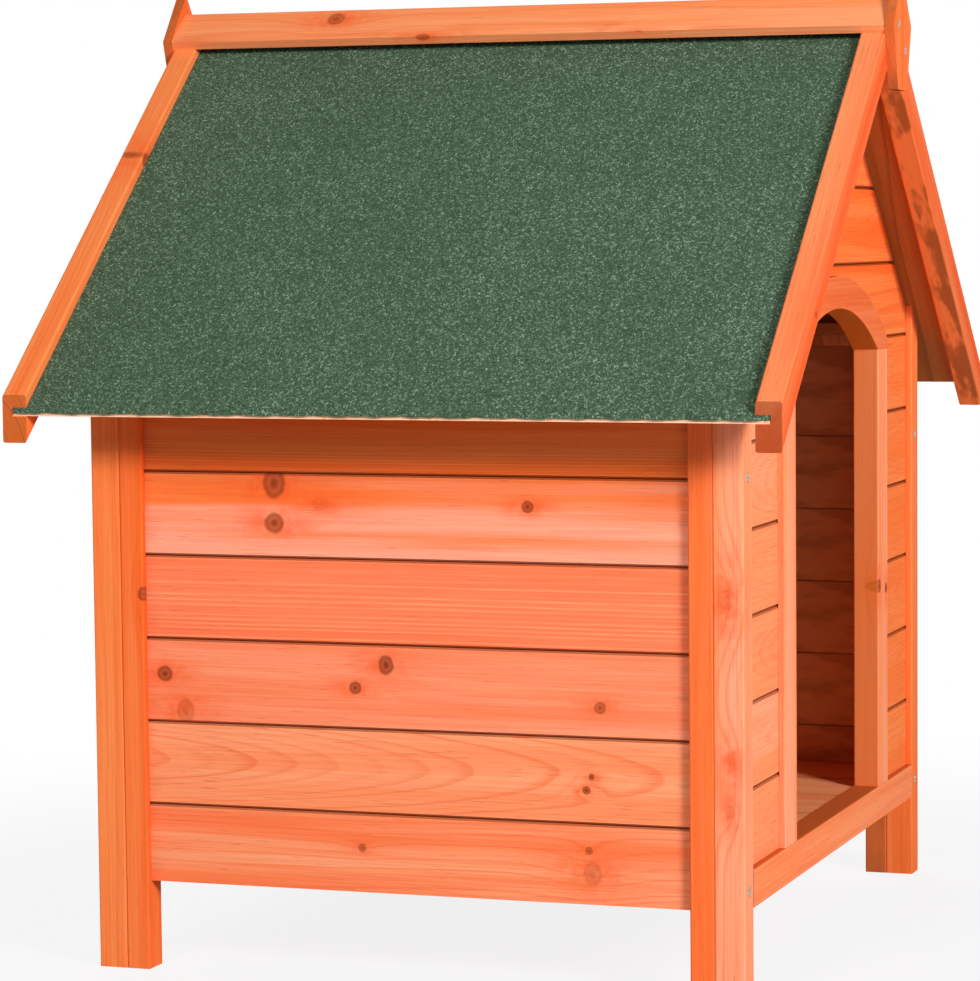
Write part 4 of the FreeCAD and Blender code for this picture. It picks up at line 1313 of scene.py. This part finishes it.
@dataclass
class Studio:
    """A pale floor, a white surround, soft lamps and the camera, sizes in metres, degrees and pixels.

    The floor's shadow stays near the house; from one fade to the other the floor's glow rises to white.
    """

    floor_reach: float = 30.0
    floor_matt: float = 0.6
    fade: Pair = (0.45, 1.2)
    near_glow: float = 0.86
    ambient: float = 0.06
    lamps: tuple[Lamp, ...] = (
        Lamp("side_key", (-3.1, 0.4, 2.25), 0.7, 48.0),
        Lamp("front_key", (-1.95, -2.9, 1.6), 0.9, 128.0),
        Lamp("back_fill", (2.8, 1.8, 2.0), 2.2, 90.0),
    )
    eye: Triple = (-2.8268, -0.9937, 0.6032)
    yaw: float = -72.439
    pitch: float = 4.297
    roll: float = -0.392
    focal_pixels: float = 3417.6
    middle: Pair = (640.0, 488.6)
    picture: tuple[int, int] = (980, 981)
    film: float = 36.0

    def camera(self) -> None:
        """Stands the camera where the photograph was taken from."""
        yaw, pitch, roll = (math.radians(v) for v in (self.yaw, self.pitch, self.roll))
        ahead = Vector((-math.sin(yaw) * math.cos(pitch), math.cos(yaw) * math.cos(pitch), -math.sin(pitch)))
        right = Vector((math.cos(yaw), math.sin(yaw), 0))
        up = right.cross(ahead)
        across = right * math.cos(roll) + up * math.sin(roll)
        upward = up * math.cos(roll) - right * math.sin(roll)
        data = bpy.data.cameras.new("camera")
        data.sensor_width = self.film
        longer = max(self.picture)
        data.lens = self.focal_pixels / longer * self.film
        data.shift_x = (self.picture[0] / 2 - self.middle[0]) / longer
        data.shift_y = (self.middle[1] - self.picture[1] / 2) / longer
        camera = bpy.data.objects.new("camera", data)
        turn = Matrix((across, upward, -ahead)).transposed().to_4x4()
        camera.matrix_world = Matrix.Translation(self.eye) @ turn
        bpy.context.scene.collection.objects.link(camera)
        bpy.context.scene.camera = camera

    def surround(self) -> None:
        """Lights everything evenly, and shows pure white behind the house and in glossy things."""
        world = bpy.data.worlds.new("surround")
        bpy.context.scene.world = world
        world.use_nodes = True
        graph = Graph(world.node_tree)
        background = world.node_tree.nodes["Background"].inputs
        graph.put(background["Color"], (1, 1, 1, 1))
        graph.put(background["Strength"], graph.rise(graph.eye_rays(), 0, 1, self.ambient, 1))

    def floor(self) -> None:
        """Lays a pale floor whose shadow near the house stays, and that fades to white further out."""
        material, graph, shader = new_material("pale_floor")
        material.node_tree.nodes.remove(shader)
        matt = graph.add("ShaderNodeBsdfDiffuse", {"Color": (self.floor_matt,) * 3 + (1,)}).outputs[0]
        glow = graph.add("ShaderNodeEmission", {"Strength": 1.0}).outputs[0]
        far = graph.vector("LENGTH", graph.add("ShaderNodeTexCoord").outputs["Object"])
        share = graph.times(graph.eye_rays(), graph.rise(far, *self.fade, self.near_glow, 1))
        both = graph.add("ShaderNodeMixShader", {0: share, 1: matt, 2: glow}).outputs[0]
        graph.put(material.node_tree.nodes["Material Output"].inputs["Surface"], both)
        reach = self.floor_reach
        mesh = bpy.data.meshes.new("floor")
        corners = [(-reach, -reach, 0), (reach, -reach, 0), (reach, reach, 0), (-reach, reach, 0)]
        mesh.from_pydata(corners, [], [(0, 1, 2, 3)])
        mesh.materials.append(material)
        piece = bpy.data.objects.new("floor", mesh)
        bpy.context.scene.collection.objects.link(piece)

    def build(self) -> None:
        """Sets up the whole studio."""
        self.camera()
        self.surround()
        self.floor()
        for lamp in self.lamps:
            lamp.hang()
        bpy.context.scene.view_settings.view_transform = "Standard"


def main() -> None:
    """Builds and dresses the dog house, sub-assembly by sub-assembly."""
    logging.basicConfig(level=logging.INFO, format="%(message)s")
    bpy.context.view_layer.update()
    groups = WoodGroups()
    for side in SIDES:
        panel = SidePanel(groups, side)
        panel.dress_boards()
        panel.dress_legs()
    for end in ENDS:
        panel = EndPanel(groups, end)
        panel.dress_frame()
        panel.dress_boards()
    doorway = Doorway(groups)
    doorway.dress_frame()
    doorway.dress_boards()
    Floor(groups).dress_all()
    roof = Roof(groups)
    roof.dress_rails()
    roof.dress_ridge()
    felt = MineralFelt().material()
    for side in SIDES:
        roof.felt_sheet(side, felt)
    Fixings(ZincSteel().material()).drive_all()
    Studio().build()


if __name__ == "__main__":
    main()
